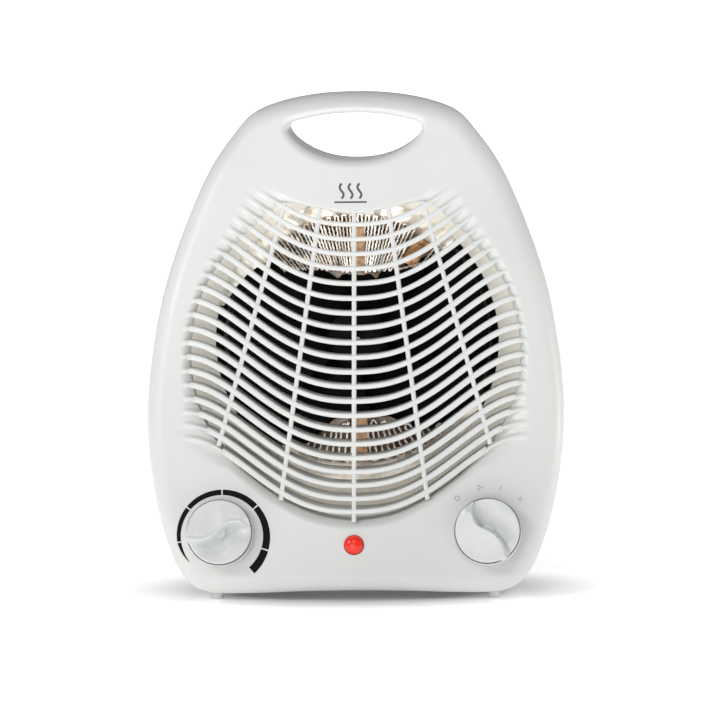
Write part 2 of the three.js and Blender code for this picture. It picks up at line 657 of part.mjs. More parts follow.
// A C-shaped stack with a round bore; the coil sits on its lower limb.
function stator() {
  const frame = block(-24, 24, STATOR_Y, statorBack, FAN_Z - 36, FAN_Z + 20);
  const window = block(-14, 14, 0, 80, FAN_Z - 29, FAN_Z - 15.5);
  return frame.subtract(window).subtract(axisRod(0, 80, ROTOR_RADIUS + 0.4, 32));
}

addSolid('motor_stator', stator(), 0x6f7276, { roughness: 0.45, metalness: 0.8 });
const coilBody = block(-12.5, 12.5, STATOR_Y - 3.4, statorBack + 2, FAN_Z - 41, FAN_Z - 16.2);
const coilBore = block(-20, 20, STATOR_Y - GAP, statorBack + GAP, FAN_Z - 36 - GAP, FAN_Z - 29 + GAP);
addSolid('motor_coil', coilBody.subtract(coilBore), 0xb4552a, { roughness: 0.5, metalness: 0.3 });

const BEARING_RADIUS = 5;

function bearing(name, y0, y1) {
  const bore = axisRod(0, 80, SHAFT_RADIUS + RUNNING_CLEARANCE, 16);
  addSolid(name, axisRod(y0, y1, BEARING_RADIUS, 24).subtract(bore), 0xb08a4a, STEEL);
}

function bearingBracket(name, y0, y1) {
  const bar = block(-21, 21, y0, y1, FAN_Z - 5.5, FAN_Z + 5.5).add(axisRod(y0, y1, 8.5, 28));
  const screwHoles = rod(-18, FAN_Z, 0, 80, 1.9, 12).add(rod(18, FAN_Z, 0, 80, 1.9, 12));
  const bore = axisRod(0, 80, BEARING_RADIUS + 0.2, 24);
  addSolid(name, bar.subtract(bore).subtract(screwHoles), 0xa9abad, STEEL);
}

bearing('front_bearing', MOTOR_PLATE_Y + 2.4, STATOR_Y - 0.4);
bearing('rear_bearing', statorBack + 0.4, statorBack + 2.4);
bearingBracket('front_bearing_bracket', MOTOR_PLATE_Y + 2.4, STATOR_Y - 0.4);
bearingBracket('rear_bearing_bracket', statorBack + 0.4, statorBack + 2.2);

// ---------------------------------------------------------------- thermostat, selector and pilot lamp

const knobMiddle = { left: onFace(-KNOB_X, KNOB_Z), right: onFace(KNOB_X, KNOB_Z) };

// A tapered round knob with a raised S-shaped grip: the pointer is at +X and the tail runs past the rim.
function knob(name, group, rest) {
  const bore = SPINDLE_RADIUS + 0.15;
  const top = KNOB_BASE + KNOB_HEIGHT - 3.5;
  const profile = [
    [bore, KNOB_BASE], [KNOB_BASE_RADIUS, KNOB_BASE], [KNOB_RADIUS, top - 1], [KNOB_RADIUS - 1.2, top],
    [0, top], [0, 9.2], [bore, 9.2],
  ].map(([radius, z]) => new THREE.Vector2(radius, z));
  const body = solidOf(new THREE.LatheGeometry([...profile, profile[0]], 36).rotateX(Math.PI / 2));
  const pointer = KNOB_RADIUS - 1;
  const tail = -KNOB_RADIUS - 0.4;
  const grip = new THREE.Shape();
  grip.moveTo(pointer, -1.8);
  grip.bezierCurveTo(6, 2, 4, -0.6, -6, -2.2);
  grip.quadraticCurveTo(-11, -2.6, tail, 0.4);
  grip.lineTo(tail, 3.4);
  grip.quadraticCurveTo(-10, 5.6, 0, 5.6);
  grip.quadraticCurveTo(9, 5.6, pointer, 0.6);
  grip.closePath();
  const ridge = new THREE.ExtrudeGeometry(grip, { depth: 5.2, bevelEnabled: false, curveSegments: 6 });
  const turn = new THREE.Matrix4().makeRotationZ(rest);
  const solid = body.add(solidOf(ridge.translate(0, 0, KNOB_BASE + KNOB_HEIGHT - 5.2), turn));
  addSolid(name, solid, WHITE, { roughness: 0.3, to: group });
}

function spindle(name, group, rest) {
  const round = new THREE.CylinderGeometry(SPINDLE_RADIUS, SPINDLE_RADIUS, 22, 20).rotateX(Math.PI / 2);
  const flat = new THREE.BoxGeometry(8, 2, 7).translate(0, SPINDLE_RADIUS + 0.4, 8);
  const turn = new THREE.Matrix4().makeRotationZ(rest);
  const solid = solidOf(round.translate(0, 0, -2)).subtract(solidOf(flat, turn));
  addSolid(name, solid, 0xbfc1c3, { ...STEEL, to: group });
}

// The hole that a spindle turns in, in the frame of a group on the face.
function spindleWell() {
  const radius = SPINDLE_RADIUS + 0.2;
  const hole = new THREE.CylinderGeometry(radius, radius, 11, 20);
  return solidOf(hole.rotateX(Math.PI / 2).translate(0, 0, -8.2));
}

knob('thermostat_knob', knobMiddle.left, THERMOSTAT_REST);
spindle('thermostat_spindle', knobMiddle.left, THERMOSTAT_REST);
knob('selector_knob', knobMiddle.right, SELECTOR_REST);
spindle('selector_spindle', knobMiddle.right, SELECTOR_REST);

// Thermostat: a square moulded base with a bimetal blade and its contact arm behind it.
const moulding = new THREE.BoxGeometry(22, 20, 11).translate(0, 0, -10.2);
const thermostatBase = solidOf(moulding).subtract(spindleWell());
addSolid('thermostat_body', thermostatBase, 0xd9d2c0, { roughness: 0.6, to: knobMiddle.left });
const bimetal = new THREE.BoxGeometry(8, 26, 0.8).translate(5, 0, -17.4);
addMesh('thermostat_bimetal_blade', bimetal, 0xb59a62, { ...STEEL, to: knobMiddle.left });
const contactArm = new THREE.BoxGeometry(5, 24, 0.6).translate(-5, 0, -17);
addMesh('thermostat_contact_arm', contactArm, 0xb87333, { ...STEEL, to: knobMiddle.left });

// Rotary selector: a round moulded base with a ring of flat terminals.
const drum = new THREE.CylinderGeometry(13, 13, 11, 28).rotateX(Math.PI / 2).translate(0, 0, -10.2);
const selectorBase = solidOf(drum).subtract(spindleWell());
addSolid('selector_body', selectorBase, 0x2c2c2e, { roughness: 0.6, to: knobMiddle.right });
for (let k = 0; k < 4; k++) {
  const tab = new THREE.BoxGeometry(4.8, 0.8, 7).translate(0, 8.5, -19.6).rotateZ((k * Math.PI) / 2);
  addMesh('selector_terminal_' + (k + 1), tab, 0xc7b27a, { ...STEEL, to: knobMiddle.right });
}

// Pilot lamp: a red domed lens snapped into the face, over a small neon in its sleeve.
const pilot = onFace(0, PILOT_Z);
const lens = [[0, -3.4], [4.2, -3.4], [PILOT_RADIUS - 0.1, -3], [PILOT_RADIUS - 0.1, 0.6]];
for (let k = 1; k <= 4; k++) {
  const turn = (k / 4) * (Math.PI / 2);
  lens.push([(PILOT_RADIUS - 0.1) * Math.cos(turn), 0.6 + 2.4 * Math.sin(turn)]);
}
const lensProfile = lens.map(([radius, z]) => new THREE.Vector2(Math.max(radius, 0), z));
lensProfile.at(-1).x = 0;
addMesh('pilot_lens', new THREE.LatheGeometry(lensProfile, 28).rotateX(Math.PI / 2), 0xe2231a, {
  roughness: 0.15,
  to: pilot,
});
const neon = new THREE.CylinderGeometry(3, 3, 11, 16).rotateX(Math.PI / 2).translate(0, 0, -9.3);
addMesh('pilot_neon', neon, 0xf0d9c0, { roughness: 0.3, to: pilot });

// ---------------------------------------------------------------- terminal block

const blockFloor = CASE_BOTTOM + CASE_ARCH + WALL + 2; // clear of the draft of the case's floor
const terminalBase = block(-17, 17, 22, 36, blockFloor, blockFloor + 12);
const wireHoles = joined([-11, 0, 11].map((x) => rod(x, blockFloor + 5, 10, 50, 2.2, 12)));
addSolid('terminal_block', terminalBase.subtract(wireHoles), 0xe8e4d8, { roughness: 0.6 });

export default heater;
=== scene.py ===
"""Looks of the fan convector heater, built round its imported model. Shapes are worked out in millimetres
and written in metres, in the model's own frame: +Z is up and the outlet faces -Y."""

import json
import math

import bmesh
import bpy
import numpy as np
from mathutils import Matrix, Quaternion, Vector


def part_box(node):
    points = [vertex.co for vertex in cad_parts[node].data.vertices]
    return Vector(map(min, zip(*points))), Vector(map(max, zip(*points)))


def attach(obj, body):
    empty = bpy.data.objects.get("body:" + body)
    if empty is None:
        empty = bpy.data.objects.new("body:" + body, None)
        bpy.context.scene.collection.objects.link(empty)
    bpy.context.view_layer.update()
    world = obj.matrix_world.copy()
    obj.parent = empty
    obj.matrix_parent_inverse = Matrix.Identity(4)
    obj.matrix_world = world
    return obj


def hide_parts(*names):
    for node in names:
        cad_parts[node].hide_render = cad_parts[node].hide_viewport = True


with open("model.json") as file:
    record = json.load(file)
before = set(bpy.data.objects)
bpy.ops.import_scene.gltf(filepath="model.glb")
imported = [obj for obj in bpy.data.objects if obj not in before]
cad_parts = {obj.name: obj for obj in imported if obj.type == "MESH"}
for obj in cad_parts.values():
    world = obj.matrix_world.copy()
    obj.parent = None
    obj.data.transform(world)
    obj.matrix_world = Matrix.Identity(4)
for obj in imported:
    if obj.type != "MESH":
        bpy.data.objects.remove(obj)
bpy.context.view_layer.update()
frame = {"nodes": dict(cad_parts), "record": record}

MM = 0.001

# ---------------------------------------------------------------- driving dimensions, in millimetres

TILT = math.radians(14)  # the front face leans back by this much
FACE_Y = -54.5  # front face at the floor, on the centre line
FACE_SAG = 5  # the face falls back by this much at the widest point
BACK_Y = 61.6  # back face at the floor
BACK_LEAN = 0.07  # per millimetre of height
SPLIT_Y = -8  # parting plane between the two case halves, at the floor
SPLIT_LEAN = 0.125
WALL = 2.5
EDGE_RADIUS = 9
BACK_RADIUS = 11
DRAFT = 2  # the rear half tapers by this much
HALF_WIDTH = 107.5
GAP = 0.3  # between the two case halves
CASE_INSET = 0.12  # keeps the case inside the CAD model's box

CASE_HALF = [
    (0, 4.9), (26, 4.6), (48, 3.85), (68, 3.6), (75, 4.2), (83, 7.2), (90.5, 15.5), (97, 30), (103, 51),
    (107, 78.2), (HALF_WIDTH, 98.5), (105.3, 122.8), (99.6, 154.2), (89.3, 186.2), (75, 218.5), (63.6, 235),
    (53.4, 246.2), (40, 252), (20, 256), (0, 257),
]
MIDDLE = np.array([0.0, 118.0])  # the outlines are worked out as radii round this point
SLOT_HALF = [
    (0, 221.8), (13, 223.2), (24, 227.4), (32.4, 233.8), (34.8, 238.4), (33.4, 241), (23.5, 243.8),
    (12, 245.7), (0, 246.2),
]
OUTLET_HALF = [
    (0, 40.3), (20, 43.2), (38, 51.5), (55, 63.5), (70.5, 79.6), (80, 96.4), (84.6, 116), (84.4, 133),
    (80, 152), (73, 165.5), (64, 176.5), (50, 190.5), (37, 200), (18, 197.6), (0, 194.8),
]
SLOT_FILLET = 4

SLAT_COUNT = 21
SLAT_TOP_Z = 189.6
SLAT_PITCH = 7.5
SLAT_CLOSING = 3.46e-5  # the lowest slats lie closer together
SLAT_HALF = 1.27  # half the thickness at the front edge
SLAT_THICKER = 0.2  # share by which a slat is thicker off the middle
SLAT_THICKENS = (15, 55)  # the distances from the middle between which it grows thicker
SLAT_DEPTHS = (5, 20)  # from front to back, at the two heights that follow
SLAT_DEPTH_ZS = (190, 45)
BAR_CORNER = 0.62  # corner radius of a slat or rib, as a share of its half thickness
WAVE_HEIGHT = 18.6
WAVE_HALF = 88
WAVE_POWER = 1.25
RIB_APEX_Z = 329
RIB_SLOPES = (-0.278, -0.135, 0, 0.135, 0.278)
RIB_HALF = 1.2
RIB_DEPTH = 3.4
COLLAR = 2  # wall round the outlet

# How far the moulded dips beside the slats reach out from the outlet, by the angle from level.
GILL_REACH = [
    (-90, 4), (-45, 4), (-38, 5), (-31, 12), (-25, 19), (-19, 14), (-12, 7.5), (0, 5), (25, 5), (38, 7.5),
    (43, 9), (51, 14), (59, 19), (64, 13), (69, 3), (75, 1.4), (90, 1.2),
]
GILL_DEPTH = 5

FAN_Z = 128
DUCT_RADIUS = 73.5
FAN_RADIUS = 68
HUB_RADIUS = 17
ALONG_DUCT = (0, 1, 0)  # from the outlet to the fan
AGAINST_DUCT = (0, -1, 0)
AROUND = 1440  # points round the case's rings


# ---------------------------------------------------------------- surfaces of the case

def face_y(x, z):
    return FACE_Y + z * math.tan(TILT) + FACE_SAG * (x / HALF_WIDTH) ** 2


def back_y(x, z):
    return BACK_Y - BACK_LEAN * z


def split_y(x, z):
    return SPLIT_Y + SPLIT_LEAN * z


def slat_depth(z):
    """From front to back: in proportion between the given heights, and on beyond them."""
    (high, low), (shallow, deep) = SLAT_DEPTH_ZS, SLAT_DEPTHS
    return shallow + (high - z) * (deep - shallow) / (high - low)


def slat_back_y(x, z):
    return face_y(x, z) + slat_depth(z)


def wave(x):
    return WAVE_HEIGHT * (1 - np.cos(math.pi * (np.abs(x) / WAVE_HALF) ** WAVE_POWER))


def slat_z(index):
    return SLAT_TOP_Z - SLAT_PITCH * index + SLAT_CLOSING * index**4


# ---------------------------------------------------------------- curves and outlines

def smooth_curve(points, count, closed=False):
    """Evenly spaced points along a centripetal Catmull-Rom curve through the given ones."""
    p = np.asarray(points, float)
    n = len(p)
    spans = n if closed else n - 1
    dense = []
    t = np.linspace(0, 1, 80, endpoint=False)[:, None]
    for i in range(spans):
        p1, p2 = p[i], p[(i + 1) % n]
        p0 = p[i - 1] if closed or i else 2 * p1 - p2
        p3 = p[(i + 2) % n] if closed or i + 2 < n else 2 * p2 - p1
        d0, d1, d2 = (max(math.sqrt(np.linalg.norm(b - a)), 1e-4) for a, b in ((p0, p1), (p1, p2), (p2, p3)))
        m1 = ((p1 - p0) / d0 - (p2 - p0) / (d0 + d1) + (p2 - p1) / d1) * d1
        m2 = ((p2 - p1) / d1 - (p3 - p1) / (d1 + d2) + (p3 - p2) / d2) * d1
        dense.append(p1 + m1 * t + (3 * (p2 - p1) - 2 * m1 - m2) * t**2 + (2 * (p1 - p2) + m1 + m2) * t**3)
    dense = np.vstack([*dense, p[:1] if closed else p[-1:]])
    along = np.concatenate([[0], np.cumsum(np.linalg.norm(np.diff(dense, axis=0), axis=1))])
    wanted = np.linspace(0, along[-1], count, endpoint=not closed)
    return np.stack([np.interp(wanted, along, dense[:, k]) for k in range(p.shape[1])], axis=1)


def closed_outline(half, count=2400):
    """A half outline mirrored into a closed one, running counter-clockwise."""
    mirrored = [(-x, z) for x, z in reversed(half[1:-1])]
    return smooth_curve([*half, *mirrored], count, closed=True)


def left_of(along):
    """Unit vectors to the left of the given ones."""
    along = along / np.linalg.norm(along, axis=1, keepdims=True)
    return np.stack([-along[:, 1], along[:, 0]], axis=1)


def inset(outline, distance):
    """The outline moved inwards, or outwards if the distance is negative."""
    return outline + distance * left_of(np.roll(outline, -1, axis=0) - np.roll(outline, 1, axis=0))


def radius_at(outline, angles, middle=MIDDLE):
    """The outline's distance from a middle point, at each angle."""
    off = outline - middle
    turn = np.arctan2(off[:, 1], off[:, 0])
    order = np.argsort(turn)
    return np.interp(angles, turn[order], np.hypot(*off[order].T), period=2 * math.pi)


def at_polar(angles, radii, middle=MIDDLE):
    return middle[0] + radii * np.cos(angles), middle[1] + radii * np.sin(angles)


CASE = inset(closed_outline(CASE_HALF), CASE_INSET)
SLOT = closed_outline(SLOT_HALF, 360)
OUTLET = closed_outline(OUTLET_HALF)
ANGLES = np.linspace(-math.pi, math.pi, AROUND, endpoint=False)
OUTLET_RADII = radius_at(OUTLET, ANGLES)


def case_radii(distance):
    """The case's outline, moved inwards by a distance, as radii at ANGLES."""
    return radius_at(inset(CASE, distance), ANGLES)


def ring_at(x, z, height):
    """A ring of points at (x, z), at the depth that height gives there."""
    return np.stack([x, height(x, z), z], axis=1)


def inside_outlet(x, z):
    x, z = x - MIDDLE[0], z - MIDDLE[1]
    return np.hypot(x, z) < radius_at(OUTLET, np.arctan2(z, x))


# ---------------------------------------------------------------- meshes

def new_object(name, vertices, faces):
    """A closed mesh object, facing out, from points in millimetres."""
    mesh = bpy.data.meshes.new(name)
    mesh.from_pydata((np.asarray(vertices, float) * MM).tolist(), [], [list(map(int, f)) for f in faces])
    mesh.validate()
    bm = bmesh.new()
    bm.from_mesh(mesh)
    if bm.calc_volume(signed=True) < 0:
        bmesh.ops.reverse_faces(bm, faces=bm.faces)
    bm.to_mesh(mesh)
    bm.free()
    piece = bpy.data.objects.new(name, mesh)
    bpy.context.scene.collection.objects.link(piece)
    return piece


def grid_faces(rows, columns, rows_meet=False, columns_meet=True):
    """Quads over a grid of points, numbered row by row."""
    r = np.arange(rows if rows_meet else rows - 1)
    c = np.arange(columns if columns_meet else columns - 1)
    r, c = (k.ravel() for k in np.meshgrid(r, c, indexing="ij"))
    r2, c2 = (r + 1) % rows, (c + 1) % columns
    return np.stack([r * columns + c, r * columns + c2, r2 * columns + c2, r2 * columns + c], axis=1).tolist()


def loft(name, rings, ringed=False, fans=False):
    """A closed skin over rings of equal length. Its ends are capped by one face each, or by a fan to the
    middle of the ring, unless the last ring meets the first."""
    rings = np.asarray(rings, float)
    rows, columns = rings.shape[:2]
    points = list(rings.reshape(-1, 3))
    faces = grid_faces(rows, columns, rows_meet=ringed)
    if not ringed:
        last = (rows - 1) * columns
        if fans:
            for start, ring, turned in ((0, rings[0], True), (last, rings[-1], False)):
                tip = len(points)
                points.append(ring.mean(axis=0))
                for i in range(columns):
                    pair = (start + i, start + (i + 1) % columns)
                    faces.append([*(pair[::-1] if turned else pair), tip])
        else:
            faces.append(list(range(columns))[::-1])
            faces.append([last + i for i in range(columns)])
    return new_object(name, points, faces)


def loft_lines(name, lines):
    """A solid between lines that run side by side, each given as its x, y and z; its section joins them."""
    return loft(name, np.stack([np.stack(np.broadcast_arrays(*line), axis=1) for line in lines], axis=1))


def lathe(name, profile, origin, axis, sides=96, hollow=False):
    """A turned solid: profile points are (radius, height along the axis). It closes on the axis, or, if it is
    hollow, the profile closes on itself round a hole."""
    angles = np.linspace(0, 2 * math.pi, sides, endpoint=False)
    place = np.array(Vector((0, 0, 1)).rotation_difference(Vector(axis)).to_matrix())
    rings = []
    for radius, height in np.asarray(profile, float):
        ring = np.stack([radius * np.cos(angles), radius * np.sin(angles), np.full(sides, height)], axis=1)
        rings.append(ring @ place.T + np.asarray(origin, float))
    return loft(name, rings, ringed=hollow, fans=True)


def apply_modifiers(piece):
    bpy.context.view_layer.update()
    evaluated = piece.evaluated_get(bpy.context.evaluated_depsgraph_get())
    mesh = bpy.data.meshes.new_from_object(evaluated)
    old = piece.data
    piece.modifiers.clear()
    piece.data = mesh
    mesh.name = piece.name
    bpy.data.meshes.remove(old)


def delete(pieces):
    for piece in pieces:
        mesh = piece.data
        bpy.data.objects.remove(piece)
        bpy.data.meshes.remove(mesh)


def combine(piece, others, operation):
    """Joins pieces to one, or cuts them out of it, and deletes them."""
    for other in others:
        cut = piece.modifiers.new("combine", "BOOLEAN")
        cut.operation = operation
        cut.solver = "MANIFOLD"
        cut.object = other
    apply_modifiers(piece)
    delete(others)


def join(name, pieces):
    """Several meshes made one object."""
    bm = bmesh.new()
    for piece in pieces:
        bm.from_mesh(piece.data)
    mesh = bpy.data.meshes.new(name)
    bm.to_mesh(mesh)
    bm.free()
    delete(pieces)
    whole = bpy.data.objects.new(name, mesh)
    bpy.context.scene.collection.objects.link(whole)
    return whole


def shade(piece, degrees=32):
    """Smooth shading that keeps edges sharper than the angle."""
    piece.data.shade_smooth()
    piece.data.set_sharp_from_angle(angle=math.radians(degrees))


PANEL_NORMAL = np.array([0, -math.cos(TILT), math.sin(TILT)])


def on_face(x, z):
    return np.array([x, face_y(x, z), z])


# ---------------------------------------------------------------- front half of the case

def smooth_step(value, low, high):
    t = np.clip((value - low) / (high - low), 0, 1)
    return t * t * (3 - 2 * t)


def gill_reach(angles):
    """How far the dips reach, at angles round the middle of the case."""
    level = np.degrees(np.arctan2(np.sin(angles), np.abs(np.cos(angles))))
    stops, reach = np.array(GILL_REACH, float).T
    fine = np.linspace(-90, 90, 721)
    curve = np.interp(fine, stops, reach)
    width = 17
    kernel = np.hanning(width) / np.hanning(width).sum()
    padded = np.pad(curve, width // 2, mode="edge")
    return np.interp(level, fine, np.convolve(padded, kernel, mode="valid"))


def ridge_cover(x, z):
    """0 on the crest of the nearest slat's line and 1 clear of it."""
    steep = np.gradient(wave(np.linspace(0, 130, 1301)), 0.1)
    slope = np.interp(np.abs(x), np.linspace(0, 130, 1301), steep)
    off = z - wave(x)
    lines = np.array([slat_z(i) for i in range(SLAT_COUNT)])
    nearest = np.abs(off[..., None] - lines).min(axis=-1) / np.sqrt(1 + slope**2)
    return smooth_step(nearest, 0.5, 1.9)


def dip(angles, beyond):
    """Depth of the moulded dip, without its ridges, at a distance beyond the outlet's edge."""
    reach = gill_reach(angles)
    edge_z = at_polar(angles, OUTLET_RADII)[1]
    depth = np.minimum(np.minimum(GILL_DEPTH, slat_depth(edge_z) - 1.5), 1.3 * reach)
    return depth * np.clip(1 - beyond / reach, 0, 1) ** 2


def front_skin():
    """The front half of the case without its slats, as one closed wall."""
    rim = case_radii(EDGE_RADIUS)
    rings = []

    def add(radii, height):
        rings.append(ring_at(*at_polar(ANGLES, radii), height))

    add(OUTLET_RADII, slat_back_y)
    add(OUTLET_RADII, lambda x, z: face_y(x, z) + dip(ANGLES, 0) * ridge_cover(x, z) + 0.5)
    for share in np.linspace(0, 1, 62) ** 1.35:
        beyond = (rim - OUTLET_RADII) * share
        radii = OUTLET_RADII + beyond + (0.35 if share == 0 else 0)
        add(radii, lambda x, z: face_y(x, z) + dip(ANGLES, beyond) * ridge_cover(x, z))
    for turn in np.linspace(math.pi / 2, 0, 11)[1:]:
        radii = case_radii(EDGE_RADIUS * (1 - math.cos(turn)))
        add(radii, lambda x, z: face_y(x, z) + EDGE_RADIUS * (1 - math.sin(turn)))
    add(case_radii(0), lambda x, z: split_y(x, z) - 0.6)
    add(case_radii(0.15), lambda x, z: split_y(x, z) - 0.15)
    add(case_radii(0.6), split_y)
    add(case_radii(WALL), split_y)
    inner = EDGE_RADIUS - WALL
    for turn in np.linspace(0, math.pi / 2, 6):
        radii = case_radii(WALL + inner * (1 - math.cos(turn)))
        add(radii, lambda x, z: face_y(x, z) + WALL + inner * (1 - math.sin(turn)))
    for share in (0.75, 0.5, 0.3, 0.15, 0.07, 0):
        beyond = COLLAR + (rim - OUTLET_RADII - COLLAR) * share
        add(OUTLET_RADII + beyond, lambda x, z: face_y(x, z) + WALL + dip(ANGLES, beyond))
    behind = face_y(*at_polar(ANGLES, OUTLET_RADII + COLLAR)) + WALL + dip(ANGLES, COLLAR) + 0.3
    add(OUTLET_RADII + COLLAR, lambda x, z: np.maximum(slat_back_y(x, z), behind))
    return loft("front_case", rings, ringed=True)


def bar(name, centres, sideways, front, back, half, taper):
    """A bar with a rounded front edge, swept along centres in the x-z plane."""
    corner = half * BAR_CORNER
    nose = []
    for turn in np.linspace(-math.pi / 2, math.pi / 2, 11):
        straight = half - corner if abs(turn) > 1e-9 else 0
        nose.append((math.copysign(straight, turn) + corner * math.sin(turn), corner * (1 - math.cos(turn))))
    rings = []
    for (x, z), (dx, dz), y0, y1 in zip(centres, sideways, front, back):
        profile = [(taper - half, y1), *((across, y0 + depth) for across, depth in nose), (half - taper, y1)]
        rings.append([(x + across * dx, y, z + across * dz) for across, y in profile])
    return loft(name, rings)


def slat(index):
    x = np.arange(0, 95, 0.1)
    half = x[np.argmin(inside_outlet(x, slat_z(index) + wave(x)))] + 1.1
    x = np.linspace(-half, half, 2 * int(half / 1.4) + 1)
    z = slat_z(index) + wave(x)
    slope = np.gradient(z, x)
    thicker = 1 + SLAT_THICKER * smooth_step(np.abs(x), *SLAT_THICKENS)
    sideways = np.stack([-slope, np.ones_like(slope)], axis=1) * (thicker / np.sqrt(1 + slope**2))[:, None]
    front, back = face_y(x, z) + 0.05, slat_back_y(x, z) - 0.4
    return bar(f"slat_{index}", np.stack([x, z], axis=1), sideways, front, back, SLAT_HALF, 0.3)


def rib(number, slope):
    z = np.arange(20, 230, 0.2)
    z = z[inside_outlet(slope * (RIB_APEX_Z - z), z)]
    z = np.linspace(z.min() - 0.3, z.max() + 0.8, 60)
    x = slope * (RIB_APEX_Z - z)
    sideways = np.tile(np.array([1, slope]) / math.hypot(1, slope), (len(z), 1))
    front = face_y(x, z) + 0.15
    return bar(f"rib_{number}", np.stack([x, z], axis=1), sideways, front, front + RIB_DEPTH, RIB_HALF, 0.15)


def slot_trumpet(name, face, far, side):
    """The hand slot's cutter: it opens out with a fillet where it meets the face."""
    rings = []

    def add(outset, height):
        rings.append(ring_at(*inset(SLOT, -outset).T, height))

    add(SLOT_FILLET, lambda x, z: face(x, z) + side * 6)
    for turn in np.linspace(0, math.pi / 2, 11):
        outset = SLOT_FILLET * (1 - math.sin(turn))
        depth = SLOT_FILLET * (1 - math.cos(turn))
        add(outset, lambda x, z: face(x, z) - side * depth)
    add(0, far)
    return loft(name, rings, fans=True)


def slot_sleeve(name, near, far):
    """The wall round the hand slot, filled in."""
    return loft(name, [ring_at(*inset(SLOT, -WALL).T, height) for height in (near, far)], fans=True)


def screw_places():
    """The case screws' (x, z), in millimetres."""
    names = [n for n in frame["nodes"] if n.startswith("case_screw_")]
    boxes = [np.array(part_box(n)) / MM for n in sorted(names)]
    return [(low + high)[[0, 2]] / 2 for low, high in boxes]


def turned_at(name, origin, axis, radius, low, high, sides=48):
    return lathe(name, [(radius, low), (radius, high)], origin, axis, sides)


KNOB_JOINTS = {"thermostat_knob": "thermostat_turn", "selector_knob": "selector_turn"}


def knob_middle(node):
    """Where the knob's axis meets the front face."""
    joint = next(j for j in frame["record"]["behaviour"]["joints"] if j["name"] == KNOB_JOINTS[node])
    x, _, z = joint["pos_m"]
    return on_face(x / MM, z / MM)


SCREW_POST_RADIUS = 4.5
SPINDLE_HOLE_RADIUS = 3.5
LENS_HOLE_RADIUS = 5.2
KNOB_SEAT = [(16.8, -1.5), (16.8, 0.7), (16.6, 0.9)]  # raised under each knob: (radius, height over the face)


def front_case():
    skin = front_skin()
    extras = [slot_sleeve("sleeve", lambda x, z: face_y(x, z) + 1.2, split_y)]
    for x, z in screw_places():
        ends = face_y(x, z) + 1.4, split_y(x, z) - 0.05
        extras.append(turned_at("post", (x, 0, z), ALONG_DUCT, SCREW_POST_RADIUS, *ends))
    for node in KNOB_JOINTS:
        extras.append(lathe("seat", KNOB_SEAT, knob_middle(node), PANEL_NORMAL))
    slats = join("slats", [slat(i) for i in range(SLAT_COUNT)])
    ribs = join("ribs", [rib(k, slope) for k, slope in enumerate(RIB_SLOPES)])
    combine(slats, [ribs], "UNION")
    combine(skin, [slats, join("extras", extras)], "UNION")
    holes = [slot_trumpet("slot", face_y, lambda x, z: split_y(x, z) + 5, -1)]
    for node in KNOB_JOINTS:
        holes.append(turned_at("hole", knob_middle(node), PANEL_NORMAL, SPINDLE_HOLE_RADIUS, -9, 6))
    low, high = np.array(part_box("pilot_lens")) / MM
    holes.append(turned_at("hole", (low + high) / 2, PANEL_NORMAL, LENS_HOLE_RADIUS, -12, 12))
    combine(skin, [join("holes", holes)], "DIFFERENCE")
    shade(skin)
    return skin


# ---------------------------------------------------------------- rear half of the case

SCREW_BOSS_RADIUS = 6.2
INTAKE_RADIUS = 60
INTAKE_PITCH = 10
INTAKE_SLOT = 5.6
INTAKE_RIBS = (-32, 0, 32)
INTAKE_RIB_WIDTH = 3
SCREW_SEAT = 12
SCREW_WELL = 4.2
CORD_HOLE = 6.2


def rear_skin():
    """The rear half of the case as one closed cup."""
    rings = []

    def add(distance, height, shrink=1):
        rings.append(ring_at(*at_polar(ANGLES, case_radii(distance) * shrink), height))

    def start(x, z):
        return split_y(x, z) + GAP

    for shrink in (0.02, 0.2, 0.4, 0.6, 0.8, 0.92):
        add(DRAFT + BACK_RADIUS, back_y, shrink)
    for turn in np.linspace(math.pi / 2, 0, 12):
        rise = BACK_RADIUS * (1 - math.sin(turn))
        add(DRAFT + BACK_RADIUS * (1 - math.cos(turn)), lambda x, z: back_y(x, z) - rise)
    for share in (0.6, 0.3):
        add(DRAFT * share, lambda x, z: start(x, z) + share * (back_y(x, z) - BACK_RADIUS - start(x, z)))
    add(0.03, lambda x, z: start(x, z) + 0.6)
    add(0.18, lambda x, z: start(x, z) + 0.15)
    add(0.6, start)
    add(WALL, start)
    inner = BACK_RADIUS - WALL
    for turn in np.linspace(0, math.pi / 2, 6):
        rise = WALL + inner * (1 - math.sin(turn))
        add(WALL + DRAFT + inner * (1 - math.cos(turn)), lambda x, z: back_y(x, z) - rise)
    for shrink in (0.7, 0.35, 0.02):
        add(WALL + DRAFT + inner, lambda x, z: back_y(x, z) - WALL, shrink)
    return loft("rear_case", rings, fans=True)


def intake_slot(left, right, z):
    """A level slot's cutter, with round ends and edges eased where it leaves the back."""
    half = INTAKE_SLOT / 2
    rings = []
    for outset, depth in ((0.8, -4), (0.8, 0), (0.35, 0.25), (0.08, 0.6), (0, 1.1), (0, 20)):
        radius = half + outset
        ring = []
        for middle_x, start in ((right - half, -90), (left + half, 90)):
            for angle in np.radians(np.linspace(start, start + 180, 13)):
                x, point_z = at_polar(angle, radius, (middle_x, z))
                ring.append((x, back_y(x, point_z) - depth, point_z))
        rings.append(ring)
    return loft("intake", rings, fans=True)


